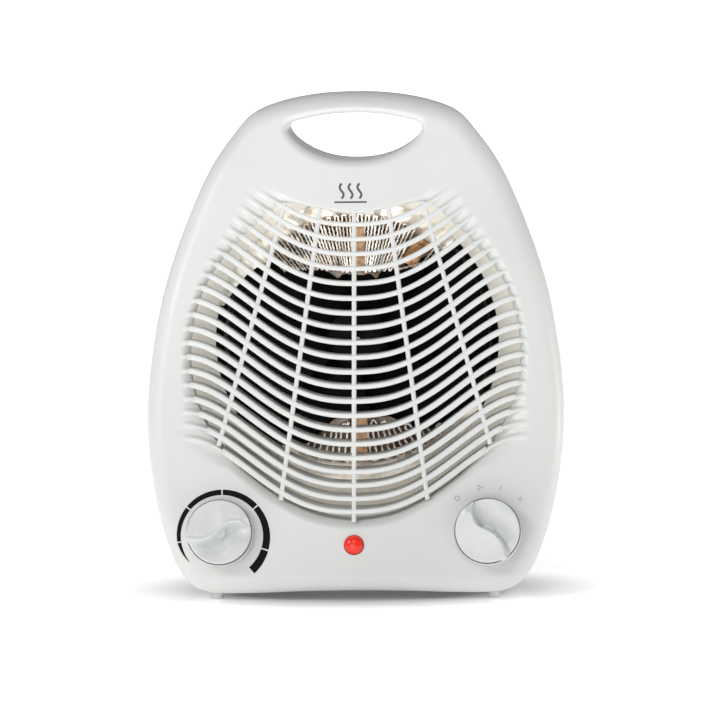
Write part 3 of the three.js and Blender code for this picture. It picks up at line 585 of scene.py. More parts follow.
def intake_cutters():
    cutters = []
    rows = math.ceil(INTAKE_RADIUS / INTAKE_PITCH) - 1
    for row in range(-rows, rows + 1):
        half = math.sqrt(INTAKE_RADIUS**2 - (row * INTAKE_PITCH) ** 2) - 2
        edges = [-half, *(x for x in INTAKE_RIBS if abs(x) < half - 6), half]
        for k in range(len(edges) - 1):
            left = edges[k] + (INTAKE_RIB_WIDTH / 2 if k else 0)
            right = edges[k + 1] - (INTAKE_RIB_WIDTH / 2 if k + 2 < len(edges) else 0)
            cutters.append(intake_slot(left, right, FAN_Z + row * INTAKE_PITCH))
    return cutters


def rear_case():
    skin = rear_skin()
    solid = [slot_sleeve("sleeve", lambda x, z: split_y(x, z) + GAP, lambda x, z: back_y(x, z) - 1)]
    for x, z in screw_places():
        ends = split_y(x, z) + 2, back_y(x, z) - 2
        solid.append(turned_at("boss", (x, 0, z), ALONG_DUCT, SCREW_BOSS_RADIUS, *ends))
    combine(skin, [join("solid", solid)], "UNION")
    holes = [slot_trumpet("slot", back_y, lambda x, z: split_y(x, z) - 5, 1)]
    for x, z in screw_places():
        seat, back = split_y(x, z) + SCREW_SEAT, back_y(x, z)
        profile = [(2, seat - 30), (2, seat), (SCREW_WELL, seat), (SCREW_WELL, back - 9),
                   (SCREW_WELL + 0.3, back - 1), (SCREW_WELL + 1.2, back + 0.1), (SCREW_WELL + 1.2, back + 8)]
        holes.append(lathe("well", profile, (x, 0, z), ALONG_DUCT, 48))
    low, high = np.array(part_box("cord_gland")) / MM
    gland = (low + high) / 2
    holes.append(turned_at("inlet", (gland[0], 0, gland[2]), ALONG_DUCT, CORD_HOLE, 40, 80))
    combine(skin, [join("holes", holes + intake_cutters())], "DIFFERENCE")
    shade(skin)
    return skin


# ---------------------------------------------------------------- knobs

KNOB_RADIUS = 16.35
KNOB_GROOVE = 0.5
KNOB_BASE_RADIUS = 17.2
SKIRT_TOP = 8.6
KNOB_BASE = 1.3
KNOB_TOP = 14.4  # height of the grip's crest over the face
SPINDLE_RADIUS = 3
REST_POINTER = {"thermostat_knob": 16, "selector_knob": 126}  # degrees from +X

# The grip's S-shaped crest, from the pointer's end to the tail, in knob radii.
CREST = [(1.0, -0.1), (0.94, -0.08), (0.78, 0.08), (0.56, 0.16), (0.28, 0.18), (0.03, 0.05), (-0.21, -0.06),
         (-0.47, -0.09), (-0.69, -0.06), (-0.88, 0.01), (-1.06, 0.09)]

UP_FACE = np.array([0, math.sin(TILT), math.cos(TILT)])
ACROSS_FACE = np.array([1.0, 0, 0])


def from_face(origin, u, v, height):
    """Points at (u, v) along the face and a height over it."""
    u, v, height = (np.asarray(k, float)[..., None] for k in (u, v, height))
    return origin + u * ACROSS_FACE + v * UP_FACE + height * PANEL_NORMAL


def knob_height(u, v):
    """Height of the knob's top over the face; u points along the pointer."""
    crest = smooth_curve(CREST, 160)[::-1] * KNOB_RADIUS
    middle = np.interp(u, crest[:, 0], crest[:, 1])
    across = v - middle
    along = u / KNOB_RADIUS
    bulge = 3.3 * smooth_step(across, -4, 17) - 3.3 * smooth_step(0.0, -4, 17)
    bulge = bulge + 0.3 * smooth_step(across, 0, 1.6)
    scoop = 5.0 * smooth_step(-across, 0.0, 2.5) - 2.3 * smooth_step(-across, 3.0, 16)
    hollow = 2.2 * smooth_step(-across, 0.3, 2.6) * (1 - smooth_step(-across, 3, 12))
    scoop += hollow * (1 - smooth_step(np.hypot(u, v) / KNOB_RADIUS, 0.5, 0.92))
    fall = np.where(across > 0, bulge, scoop)
    end = 2.6 * smooth_step(along, 0.7, 1.0)
    return KNOB_TOP - np.maximum(fall, end * (1 - smooth_step(np.abs(across), 0, 7)))


def knob(node, name):
    """A knob whose top is cut by an S-shaped grip, over a skirt with a groove between the two."""
    origin = knob_middle(node)
    rest = math.radians(REST_POINTER[node])
    sides = 240
    angles = np.linspace(0, 2 * math.pi, sides, endpoint=False)
    from_tail = np.abs((angles + 0.09) % (2 * math.pi) - math.pi)
    tail = np.exp(-((from_tail / 0.13) ** 2))
    rings = []

    def add(radii, heights):
        radii = np.broadcast_to(radii, (sides,))
        u, v = radii * np.cos(angles), radii * np.sin(angles)
        heights = heights(u, v) if callable(heights) else np.broadcast_to(heights, (sides,))
        turned = angles + rest
        rings.append(from_face(origin, radii * np.cos(turned), radii * np.sin(turned), heights))

    fillet = 0.7
    flat = KNOB_RADIUS - fillet
    for radius in np.concatenate([[0.15], np.linspace(0.5, flat, 52)]):
        add(radius, knob_height)
    rim = knob_height(flat * np.cos(angles), flat * np.sin(angles))
    for turn in np.linspace(0, math.pi / 2, 6)[1:]:
        add(flat + (fillet + 0.75 * tail) * math.sin(turn), rim - fillet * (1 - math.cos(turn)))
    add(KNOB_RADIUS + 0.75 * tail, np.minimum(rim - fillet - 0.3, SKIRT_TOP + 0.4))
    groove_floor = SKIRT_TOP - 2.6
    groove = KNOB_RADIUS + KNOB_GROOVE
    base = KNOB_BASE_RADIUS
    bore = SPINDLE_RADIUS + 0.15
    for radius, height in (
        (KNOB_RADIUS, SKIRT_TOP - 0.6), (KNOB_RADIUS, groove_floor), (groove, groove_floor),
        (groove, SKIRT_TOP - 0.1), (groove + 0.1, SKIRT_TOP), (base - 0.18, SKIRT_TOP - 0.1),
        (base - 0.06, SKIRT_TOP - 0.5), (base, KNOB_BASE + 0.35), (base - 0.1, KNOB_BASE + 0.1),
        (base - 0.35, KNOB_BASE), (bore, KNOB_BASE), (bore, 9.2),
    ):
        add(radius, height)
    piece = loft(name, rings, fans=True)
    shade(piece, 40)
    return piece


# ---------------------------------------------------------------- printed marks, on the front face

PRINT_THICKNESS = 0.05
SCALE_RADIUS = 21.2
MARK_RADIUS = 23.7  # from the selector knob's middle

# The thermostat scale's segments: where each starts and ends, and its width there.
SCALE_SEGMENTS = [
    (219, 188, 0.15, 2.0), (188, 140.5, 2.0, 2.5), (140.5, 90, 2.5, 2.8), (90, 41, 2.8, 3.2),
    (41, -17, 3.2, 3.8), (-17, -49.5, 3.8, 4.2),
]
SCALE_GAP = 0.75
SCALE_SHIFT = np.array([0.6, 0, -1.0])


def face_strip(name, left, right):
    """A thin printed strip on the face, between two lines of (x, z) points."""
    lines = []
    for side, lift in ((left, PRINT_THICKNESS), (right, PRINT_THICKNESS), (right, -0.3), (left, -0.3)):
        x, z = np.transpose(side)
        lines.append((x, face_y(x, z) - lift, z))
    return loft_lines(name, lines)


def on_face_xz(middle, u, v):
    """(x, z) of a place on the face, from distances along it."""
    return np.stack([middle[0] + u, middle[2] + v * math.cos(TILT)], axis=-1)


def stroke(name, middle, points, width):
    """A printed line of even width along points given as (u, v) on the face."""
    line = np.asarray(points, float)
    side = left_of(np.gradient(line, axis=0)) * width / 2
    return face_strip(name, *(on_face_xz(middle, *edge.T) for edge in (line + side, line - side)))


def thermostat_scale():
    middle = knob_middle("thermostat_knob") + SCALE_SHIFT
    gap = math.degrees(SCALE_GAP / 2 / (SCALE_RADIUS + 1.5))
    segments = []
    for start, end, width0, width1 in SCALE_SEGMENTS:
        turns = np.linspace(start - gap, end + gap, 40)
        outer = SCALE_RADIUS + np.interp(-turns, (-start, -end), (width0, width1))
        edges = [at_polar(np.radians(turns), radii, (0, 0)) for radii in (SCALE_RADIUS, outer)]
        segments.append(face_strip("segment", *(on_face_xz(middle, *edge) for edge in edges)))
    return join("thermostat_scale", segments)


def direction(turn):
    """The unit vector at an angle in degrees."""
    return np.array([math.cos(math.radians(turn)), math.sin(math.radians(turn))])


def selector_marks():
    """Off, cool air, low heat and high heat: a ring, a fan, one bar and two bars."""
    circle = np.linspace(0, 2 * math.pi, 33)
    bend = np.linspace(0, 1, 9)
    lines = [(np.stack(at_polar(circle, 1.15, MARK_RADIUS * direction(131)), axis=1), 0.45)]
    for turn in (90, 210, 330):
        petal = at_polar(math.radians(turn) + 0.9 * bend, 0.3 + 1.5 * bend, MARK_RADIUS * direction(100))
        lines.append((np.stack(petal, axis=1), 0.5))
    for turn, offset in ((74, 0), (46, -0.55), (46, 0.55)):
        aside = offset * direction(turn + 90)
        lines.append(([(MARK_RADIUS + reach) * direction(turn) + aside for reach in (-1.1, 0, 1.1)], 0.45))
    middle = knob_middle("selector_knob")
    return join("selector_marks", [stroke("mark", middle, points, width) for points, width in lines])


HEAT_MARK = (-1.8, 206)  # (x, z) of its middle on the face


def heat_mark():
    """Three rising waves over a short line, for warm air."""
    middle = on_face(*HEAT_MARK)
    rise = np.linspace(-3.4, 4.6, 41)
    marks = []
    for offset in (-4.6, 0, 4.6):
        sway = offset + 1.0 * np.sin((rise + 3.4) / 8 * 2 * math.pi)
        marks.append(stroke("wave", middle, np.stack([sway, rise], axis=1), 1.15))
    base = np.stack([np.linspace(-8.4, 8.4, 30), np.full(30, -5.2)], axis=1)
    marks.append(stroke("base", middle, base, 0.9))
    return join("heat_mark", marks)


# ---------------------------------------------------------------- pilot lamp

PILOT_Z = 28.9
PILOT_RADIUS = 5


def pilot_lens():
    radius = PILOT_RADIUS - 0.1
    profile = [
        (0.02, -2.2), (radius - 1.2, -2.2), (radius - 1.2, -3.3), (radius - 0.9, -3.4), (radius - 0.3, -3.3),
        (radius, -3), (radius, 0.4), (radius - 0.12, 0.62), (radius - 0.35, 0.72),
    ]
    dome = radius - 0.35
    for turn in np.linspace(0, math.pi / 2, 15)[1:]:
        profile.append((max(dome * math.cos(turn), 0.02), 0.72 + 2.24 * math.sin(turn)))
    piece = lathe("pilot_lens_dome", profile, on_face(0, PILOT_Z), PANEL_NORMAL, 72)
    shade(piece, 40)
    return piece


# ---------------------------------------------------------------- duct, boards and heating wire

BOARD_Y = 6.6
BOARD_THICKNESS = 0.8
BOARD_SHARE = 0.86  # how far down the duct the boards meet its wall
WIRE_Y = 1.6
WIRE_DEPTH = 4.6
RIBBON_HALF = 0.38
RIBBON_STEP = 0.62  # between points along the ribbon
CRIMP_HEIGHT = 0.16
CRIMP_PITCH = 2.5
RIBBON_SWAY = 0.55
LINER_THICKNESS = 1
FAN_MIDDLE = np.array([0.0, FAN_Z])
ROUND = np.linspace(-math.pi, math.pi, 360, endpoint=False)
EGG_RADII = radius_at(inset(OUTLET, -0.25), ROUND, FAN_MIDDLE)


def liner_point(share, outset=0):
    """A ring of the duct's inner wall, from its mouth (0) to the fan (1)."""
    mouth_x, mouth_z = at_polar(ROUND, EGG_RADII, FAN_MIDDLE)
    front = slat_back_y(mouth_x, mouth_z) + 0.5
    eased = 1 - (1 - share) ** 1.15
    radii = EGG_RADII + (DUCT_RADIUS - EGG_RADII) * eased + outset
    x, z = at_polar(ROUND, radii, FAN_MIDDLE)
    return np.stack([x, front + (BOARD_Y + 1.6 - front) * share, z], axis=1)


def duct_liner():
    shares = np.linspace(0, 1, 25)
    lip = [liner_point(0, LINER_THICKNESS * k) for k in (0.2, 0.8)]
    lip = [ring - np.array([0, 0.12, 0]) for ring in lip]
    outer = [liner_point(share, LINER_THICKNESS) for share in shares[::-1]]
    rings = outer + lip[::-1] + [liner_point(share) for share in shares]
    piece = loft("duct_funnel", rings, ringed=True)
    shade(piece, 40)
    return piece


UPPER_EDGE = [
    (-69, 147), (-61, 158.5), (-53, 165.8), (-41.2, 170.5), (-36, 170.8), (-28.3, 168.7), (-25.3, 166.2),
    (-18, 165.8), (-12.9, 163.2), (-9.4, 161), (-7.3, 163), (-2.7, 162.8), (2.4, 162.4), (7.6, 162.8),
    (10.4, 160.8), (12.7, 163.7), (15.8, 165.8), (20.4, 166), (25.5, 167.8), (30.7, 169.8), (35.8, 171.5),
    (42.5, 172.8), (46.6, 175.8),
]
LOWER_EDGE = [
    (-58, 80), (-44, 73.5), (-36, 74), (-27, 75), (-19, 80.5), (-14, 86), (-9, 88.4), (0, 88.9), (10, 88.5),
    (18, 88), (24, 84.5), (32, 81.5), (40, 83), (50, 88.2), (62, 94),
]


def mica_board(name, edge, upper):
    """A flaky board in the duct, from a ragged inner edge out to the duct's wall."""
    edge = smooth_curve(edge, 220)
    ragged = np.random.default_rng(7 if upper else 11)
    rough = np.convolve(ragged.normal(0, 1, len(edge) + 4), np.ones(5) / 5, mode="valid")
    edge[:, 1] += 0.35 * rough
    wall_radii = np.hypot(*(liner_point(BOARD_SHARE)[:, [0, 2]] - FAN_MIDDLE).T) - 0.25
    angles = np.arctan2(edge[:, 1] - FAN_Z, edge[:, 0])
    radii = np.interp(angles, ROUND, wall_radii, period=2 * math.pi)
    outer = np.stack(at_polar(angles, radii, FAN_MIDDLE), axis=1)
    steps = np.linspace(0, 1, 9)[:, None, None]
    sheet = edge[None] * (1 - steps) + outer[None] * steps
    front = [(*row.T, BOARD_Y) for row in sheet]
    back = [(*row.T, BOARD_Y + BOARD_THICKNESS) for row in sheet[::-1]]
    return loft_lines(name, [(x, y, z) for x, z, y in front + back])


def upper_inner(angle):
    return 36 + 27 * (1 - math.cos(1.45 * angle)) + 60 * max(0, angle - 0.63)


def lower_inner(angle):
    return 40.8 + (36 if angle > 0 else 85) * angle**2


def lower_outer(angle):
    return 62 + 5 * abs(angle)


def wire_path(start, end, strands, inner, outer, down, skipped=()):
    """A folded wire's middle line, with round bends at its folds."""
    line = []
    step = math.radians(end - start) / (strands - 1)
    for k in range(strands):
        if k in skipped:
            continue
        angle = math.radians(start) + step * k
        reach = [inner(angle), outer(angle)]
        if k % 2:
            reach.reverse()
        bend = math.copysign(0.42 * step * reach[1], reach[1] - reach[0])
        for radius in np.linspace(reach[0], reach[1] - bend, 26):
            line.append((radius, angle))
        for turn in np.radians((30, 60, 90) if k + 1 in skipped else (30, 60, 90, 120, 150)):
            line.append((reach[1] - bend * (1 - math.sin(turn)), angle + step / 2 * (1 - math.cos(turn))))
    line = np.array(line)
    sign = -1 if down else 1
    return np.stack([line[:, 0] * np.sin(line[:, 1]), FAN_Z + sign * line[:, 0] * np.cos(line[:, 1])], axis=1)


def heating_wire(name, path, seed):
    """A crimped ribbon standing on edge along a path."""
    length = np.concatenate([[0], np.cumsum(np.linalg.norm(np.diff(path, axis=0), axis=1))])
    count = int(length[-1] / RIBBON_STEP)
    at = np.linspace(0, length[-1], count)
    line = np.stack([np.interp(at, length, path[:, k]) for k in (0, 1)], axis=1)
    side = left_of(np.gradient(line, axis=0))
    drift = np.random.default_rng(seed)
    sway = np.convolve(drift.normal(0, 1, count + 40), np.hanning(41) / np.hanning(41).sum(), mode="valid")
    line += side * (CRIMP_HEIGHT * np.sin(at * 2 * math.pi / CRIMP_PITCH) + RIBBON_SWAY * sway)[:, None]
    front = WIRE_Y + 0.3 + 0.3 * np.sin(at * 2 * math.pi / 5.1)
    back = WIRE_Y + WIRE_DEPTH - 0.1
    lines = []
    for offset, y in ((-RIBBON_HALF, front), (RIBBON_HALF, front), (RIBBON_HALF, back), (-RIBBON_HALF, back)):
        x, z = (line + side * offset).T
        lines.append((x, y, z))
    piece = loft_lines(name, lines)
    shade(piece, 60)
    return piece


def mica_post(name, node, shorter=0):
    """A narrow mica strip that clamps the strands, with a slightly frayed outline."""
    low, high = np.array(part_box(node)) / MM
    z = np.linspace(low[2] + shorter, high[2], 60)
    fray = np.random.default_rng(3)
    left = low[0] + 0.12 * fray.normal(0, 1, 60).clip(-1.5, 1.5) + 0.2
    right = high[0] - 0.12 * fray.normal(0, 1, 60).clip(-1.5, 1.5) - 0.2
    corners = ((left, low[1]), (right, low[1]), (right, high[1]), (left, high[1]))
    return loft_lines(name, [(x, y, z) for x, y in corners])


# ---------------------------------------------------------------- fan shroud and impeller

MOTOR_PLATE_Y = 27
FAN_Y = 18.6
BLADE_COUNT = 6
BLADE_SPAN = math.radians(71)  # round the axis
BLADE_SWEEP = math.radians(16)  # the angle between its root and its tip
BLADE_RISE = 6  # along the axis, either side of its middle
BLADE_THICKNESS = 1.2
BLADE_CAMBER = 1.1


def fan_shroud():
    lip = BOARD_Y + 2.2
    end = MOTOR_PLATE_Y + 2
    ring_profile = [
        (79, lip + 0.3), (79, lip + 1.3), (78.7, lip + 1.6), (74.2, lip + 2.8), (72.2, lip + 4.4),
        (71.5, lip + 6), (71.5, end), (70, end), (70, lip + 5.8), (70.5, lip + 3.6), (72, lip + 1.5),
        (74.4, lip + 0.2), (75.4, lip), (78.7, lip),
    ]
    shroud = lathe("shroud", ring_profile, (0, 0, FAN_Z), ALONG_DUCT, 180, hollow=True)
    plate_profile = [(5.6, 0), (24, 0), (24.6, 0.6), (24.6, 2), (5.6, 2)]
    plate = lathe("plate", plate_profile, (0, MOTOR_PLATE_Y, FAN_Z), ALONG_DUCT, hollow=True)
    arms = []
    for k in range(3):
        angle = math.pi / 2 + k * 2 * math.pi / 3
        out = np.array([math.cos(angle), 0, math.sin(angle)])
        across = np.array([-math.sin(angle), 0, math.cos(angle)])
        rings = []
        for reach in (20.5, 30, 50, 70.8):
            half = 4.5 - 0.9 * math.sin(math.pi * (reach - 20.5) / 50.3)
            ring = []
            for side, depth in ((-1, 0.4), (-0.86, 0), (0.86, 0), (1, 0.4), (1, 2), (-1, 2)):
                middle = np.array([0, MOTOR_PLATE_Y + depth - 0.02, FAN_Z])
                ring.append(middle + reach * out + side * half * across)
            rings.append(ring)
        arms.append(loft("arm", rings))
    combine(shroud, [plate, *arms], "UNION")
    shroud.name = "shroud_ring"
    shade(shroud, 35)
    return shroud


def blade(number):
    """A swept blade that climbs along the axis as it goes round, with a rounded tip."""
    start = number * 2 * math.pi / BLADE_COUNT
    rings = []
    around = np.linspace(0, 1, 22)
    for share in np.linspace(0, 1, 16):
        radius = HUB_RADIUS - 1 + (FAN_RADIUS - HUB_RADIUS + 1) * share
        sweep = BLADE_SWEEP * share**1.5
        part = BLADE_SPAN * (1 - 0.1 * share**3)
        turn = start + sweep + part * (around - 0.5)
        lead = FAN_Y + BLADE_RISE * (1 - 2 * around)
        thin = BLADE_THICKNESS / 2 * np.clip(np.sin(math.pi * around) ** 0.5, 0.25, 1)
        camber = BLADE_CAMBER * np.sin(math.pi * around)
        x, z = at_polar(turn, radius, FAN_MIDDLE)
        front, back = (np.stack([x, lead + side * thin + camber, z], axis=1) for side in (-1, 1))
        rings.append(np.vstack([front, back[::-1]]))
    return loft("blade", rings)


def impeller():
    hub_profile = [
        (1.8, FAN_Y - 6.4), (3.4, FAN_Y - 7.2), (6, FAN_Y - 7.4), (12.5, FAN_Y - 7.2), (15, FAN_Y - 6.6),
        (16.5, FAN_Y - 5.4), (HUB_RADIUS, FAN_Y - 4), (HUB_RADIUS, FAN_Y + 6.6), (1.8, FAN_Y + 6.6),
    ]
    hub = lathe("hub", hub_profile, (0, 0, FAN_Z), ALONG_DUCT, hollow=True)
    combine(hub, [blade(k) for k in range(BLADE_COUNT)], "UNION")
    hub.name = "impeller"
    shade(hub, 40)
    return hub


# ---------------------------------------------------------------- thermal cut-out

CUT_OUT_ANGLE = 34  # degrees clockwise from up, round the fan's axis
CUT_OUT_REACH = 55.5  # from the fan's axis
CUT_OUT_PLATE = (8, 1.4, 15)


def rounded_plate(name, size, corner, origin, out, across):
    """A flat plate with round corners and eased edges, lying across the Y axis."""
    width, thick, height = size
    corners = []
    for sx, sz, start in ((1, 1, 0), (-1, 1, 90), (-1, -1, 180), (1, -1, 270)):
        for turn in np.linspace(start, start + 90, 7):
            angle = math.radians(turn)
            middle = sx * (width / 2 - corner), sz * (height / 2 - corner)
            corners.append((*middle, math.cos(angle), math.sin(angle)))
    rings = []
    for y, ease in ((0, 0.35), (0.1, 0.1), (0.35, 0), (thick - 0.3, 0), (thick, 0.3)):
        ring = []
        for x, z, cx, cz in corners:
            u, v = x + (corner - ease) * cx, z + (corner - ease) * cz
            ring.append(origin + u * across + v * out + np.array([0, y, 0]))
        rings.append(ring)
    return loft(name, rings)


def cut_out():
    angle = math.radians(CUT_OUT_ANGLE)
    out = np.array([math.sin(angle), 0, math.cos(angle)])
    across = np.array([math.cos(angle), 0, -math.sin(angle)])
    _, high = np.array(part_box("thermal_cutout")) / MM
    origin = np.array([0, high[1] - 0.02 - CUT_OUT_PLATE[1], FAN_Z]) + CUT_OUT_REACH * out
    plate = rounded_plate("cut_out", CUT_OUT_PLATE, 1.2, origin, out, across)
    seat = origin + np.array([0, 0.1, 0])
    cap = lathe("cap", [(3.3, 0), (3.3, 1.9), (3.15, 2.2), (2.8, 2.4), (1.7, 2.45), (1.55, 2.2), (0.6, 2.15)],
                seat + 1.5 * out, AGAINST_DUCT, 48)
    rivets = [lathe("rivet", [(1.1, 0), (1.1, 0.5), (0.8, 0.85), (0.3, 1.0)],
                    seat + reach * out, AGAINST_DUCT, 24) for reach in (-5.6, 6.3)]
    combine(plate, [cap, *rivets], "UNION")
    plate.name = "cut_out_disc"
    shade(plate, 35)
    return plate


# ---------------------------------------------------------------- materials

def colour(r, g, b):
    """A colour given as it is seen, as a shader takes it."""
    return tuple(c / 12.92 if c <= 0.04045 else ((c + 0.055) / 1.055) ** 2.4 for c in (r, g, b)) + (1.0,)


class Surface:
    """A node material in the making; places in it are in the object's own metres."""

    def __init__(self, name, **sockets):
        self.material = bpy.data.materials.new(name)
        self.material.use_nodes = True
        self.tree = self.material.node_tree
        self.shader = self.tree.nodes["Principled BSDF"]
        for socket, value in sockets.items():
            self.shader.inputs[socket.replace("_", " ")].default_value = value
        self.place = self.tree.nodes.new("ShaderNodeTexCoord").outputs["Object"]

    def node(self, kind, links=(), **settings):
        made = self.tree.nodes.new(kind)
        for key, value in settings.items():
            if key in made.inputs:
                made.inputs[key].default_value = value
            else:
                setattr(made, key, value)
        for key, output in links:
            self.tree.links.new(output, made.inputs[key])
        return made

    def stretched(self, scale):
        return self.node("ShaderNodeMapping", [("Vector", self.place)], Scale=scale).outputs[0]

    def length(self, vector):
        return self.node("ShaderNodeVectorMath", [(0, vector)], operation="LENGTH").outputs["Value"]

    def noise(self, scale, detail=3.0, roughness=0.5, place=None):
        return self.node("ShaderNodeTexNoise", [("Vector", place or self.place)], Scale=scale, Detail=detail,
                         Roughness=roughness).outputs["Fac"]

    def spread(self, value, low, high, to_low=0.0, to_high=1.0):
        """The value's range low..high stretched over another range."""
        made = self.node("ShaderNodeMapRange", [("Value", value)])
        for socket, number in zip(("From Min", "From Max", "To Min", "To Max"), (low, high, to_low, to_high)):
            made.inputs[socket].default_value = number
        return made.outputs[0]

    def feed(self, socket, value):
        """Sets a socket, or links it if the value is a node's output."""
        if isinstance(value, bpy.types.NodeSocket):
            self.tree.links.new(value, socket)
        else:
            socket.default_value = value

    def mix(self, share, first, second):
        """Two colours, each given as it is seen or as an output, mixed by a share."""
        made = self.tree.nodes.new("ShaderNodeMix")
        made.data_type = "RGBA"
        self.tree.links.new(share, made.inputs["Factor"])
        for socket, value in zip((made.inputs[6], made.inputs[7]), (first, second)):
            self.feed(socket, colour(*value) if isinstance(value, tuple) else value)
        return made.outputs[2]

    def maths(self, operation, first, second):
        made = self.tree.nodes.new("ShaderNodeMath")
        made.operation = operation
        for socket, value in zip(made.inputs, (first, second)):
            self.feed(socket, value)
        return made.outputs[0]

    def paint(self, output):
        self.tree.links.new(output, self.shader.inputs["Base Color"])

    def roughen(self, output):
        self.tree.links.new(output, self.shader.inputs["Roughness"])

    def bump(self, height, distance):
        """Bumps that the height raises by up to a distance in metres."""
        made = self.node("ShaderNodeBump", [("Height", height)], Distance=distance)
        self.tree.links.new(made.outputs[0], self.shader.inputs["Normal"])


def moulded(name, light, dark, rough=(0.34, 0.46), grain=1400, depth=0.00002, **sockets):
    """Moulded plastic: faint flow clouds, a fine spark-eroded grain and uneven gloss."""
    s = Surface(name, **sockets)
    clouds = s.noise(14, 4)
    specks = s.noise(900, 2)
    share = s.maths("MULTIPLY", s.spread(clouds, 0.35, 0.65), s.spread(specks, 0.3, 0.6, 0.6, 1))
    s.paint(s.mix(share, light, dark))
    s.roughen(s.spread(s.noise(55, 4), 0.3, 0.7, *rough))
    s.bump(s.noise(grain, 3, 0.6), depth)
    return s.material


def metal(name, bright, dull, rough=(0.25, 0.42), stretch=(1, 1, 1), scale=260, depth=0.00002, metallic=1.0):
    """Bare or plated metal: drawn or tumbled texture and a film of oxide in patches."""
    s = Surface(name, Metallic=metallic)
    lines = s.noise(scale, 5, 0.65, s.stretched(stretch))
    film = s.noise(70, 4)
    share = s.maths("MULTIPLY", s.spread(film, 0.35, 0.7), s.spread(lines, 0.25, 0.6, 0.4, 1))
    s.paint(s.mix(share, bright, dull))
    s.roughen(s.spread(lines, 0.3, 0.7, *rough))
    s.bump(lines, depth)
    return s.material


def mica(name, light, dark, stain, shade_behind_wire=None):
    """Pressed mica: flakes of uneven tint, with scorched patches, and painted shade in brown behind the heating
    wire, where the wire and the slats shade the board.
    """
    s = Surface(name)
    flakes = s.node("ShaderNodeTexVoronoi", [("Vector", s.stretched((1, 0.2, 1)))], Scale=520.0).outputs["Color"]
    grey = s.node("ShaderNodeRGBToBW", [("Color", flakes)]).outputs[0]
    base = s.mix(s.spread(grey, 0.2, 0.8), light, dark)
    scorched_and_shaded = s.mix(s.spread(s.noise(60, 5, 0.6), 0.52, 0.72, 0, 0.8), base, stain)
    # Painted shade: the board is coloured brown behind the heating wire, within about 63 to 68 mm of the fan's
    # axis and 40 to 50 mm of the middle, where the wire and the slats shade it.
    if shade_behind_wire:
        from_axis = s.node("ShaderNodeMapping", [("Vector", s.place)], Scale=(1, 0, 1),
                           Location=(0, 0, -FAN_Z * MM))
        radius = s.length(from_axis.outputs[0])
        across = s.node("ShaderNodeSeparateXYZ", [(0, s.place)]).outputs[0]
        near = s.maths("MULTIPLY", s.spread(radius, 0.0625, 0.0675, 1, 0),
                       s.spread(s.maths("ABSOLUTE", across, 0), 0.04, 0.05, 1, 0))
        share = s.maths("MULTIPLY", near, s.spread(s.noise(110, 4), 0.3, 0.6, 0.75, 1))
        scorched_and_shaded = s.mix(share, scorched_and_shaded, shade_behind_wire)
    s.paint(scorched_and_shaded)
    s.roughen(s.spread(grey, 0.2, 0.8, 0.35, 0.6))
    s.bump(s.noise(900, 4, 0.6), 0.00006)
    return s.material


CASE_WHITE = moulded("case_white", (0.868, 0.872, 0.862), (0.845, 0.85, 0.842), (0.3, 0.42))
REAR_WHITE = moulded("rear_white", (0.862, 0.866, 0.856), (0.835, 0.84, 0.832), (0.36, 0.5))
KNOB_WHITE = moulded("knob_white", (0.842, 0.85, 0.848), (0.822, 0.83, 0.828), (0.24, 0.34), 1100)
FOOT_GREY = moulded("foot_grey", (0.87, 0.88, 0.87), (0.82, 0.83, 0.82), (0.55, 0.75), 2200, 0.00005)
GLAND_GREY = moulded("gland_grey", (0.8, 0.81, 0.8), (0.75, 0.76, 0.75), (0.42, 0.58))
LINER_IVORY = moulded("liner_ivory", (0.965, 0.95, 0.915), (0.945, 0.92, 0.875), (0.42, 0.6), 900, 0.00003)
FAN_BLACK = moulded("fan_black", (0.045, 0.045, 0.05), (0.03, 0.03, 0.034), (0.42, 0.6), 900, 0.00003,
                    Specular_IOR_Level=0.15)
BODY_BROWN = moulded("body_brown", (0.35, 0.22, 0.15), (0.28, 0.17, 0.12), (0.4, 0.55))
BODY_BLACK = moulded("body_black", (0.13, 0.13, 0.135), (0.09, 0.09, 0.095), (0.4, 0.55))
TERMINAL_IVORY = moulded("terminal_ivory", (0.86, 0.83, 0.75), (0.8, 0.77, 0.69), (0.35, 0.5))
SPINDLE_WHITE = moulded("spindle_white", (0.8, 0.8, 0.78), (0.74, 0.74, 0.72), (0.35, 0.5))
PRINT_BLACK = moulded("print_black", (0.035, 0.037, 0.04), (0.045, 0.045, 0.047), (0.5, 0.65), 2600, 0.00001,
                      Specular_IOR_Level=0.12)
PRINT_SLATE = moulded("print_slate", (0.31, 0.31, 0.33), (0.36, 0.36, 0.38), (0.42, 0.6), 2600, 0.00001)
PRINT_GREY = moulded("print_grey", (0.6, 0.61, 0.62), (0.66, 0.67, 0.68), (0.42, 0.6), 2600, 0.00001)
CUT_OUT_TAN = moulded("cut_out_tan", (0.78, 0.6, 0.4), (0.66, 0.48, 0.3), (0.45, 0.6), 1500, 0.00006)
# The last colour is painted shade: brown behind the heating wire.
MICA_WHITE = mica("mica_white", (0.97, 0.955, 0.925), (0.9, 0.875, 0.83), (0.78, 0.68, 0.57), (0.36, 0.26, 0.18))
MICA_BROWN = mica("mica_brown", (0.6, 0.47, 0.33), (0.47, 0.35, 0.24), (0.3, 0.2, 0.13))
STEEL = metal("motor_steel", (0.75, 0.76, 0.77), (0.55, 0.55, 0.56), (0.28, 0.5), (1, 12, 1))
SCREW_STEEL = metal("screw_steel", (0.78, 0.79, 0.8), (0.6, 0.61, 0.63), (0.25, 0.42))
BRASS = metal("brass", (0.84, 0.72, 0.45), (0.66, 0.53, 0.3), (0.22, 0.4))
BRONZE = metal("bronze", (0.66, 0.5, 0.32), (0.5, 0.36, 0.22), (0.35, 0.5))


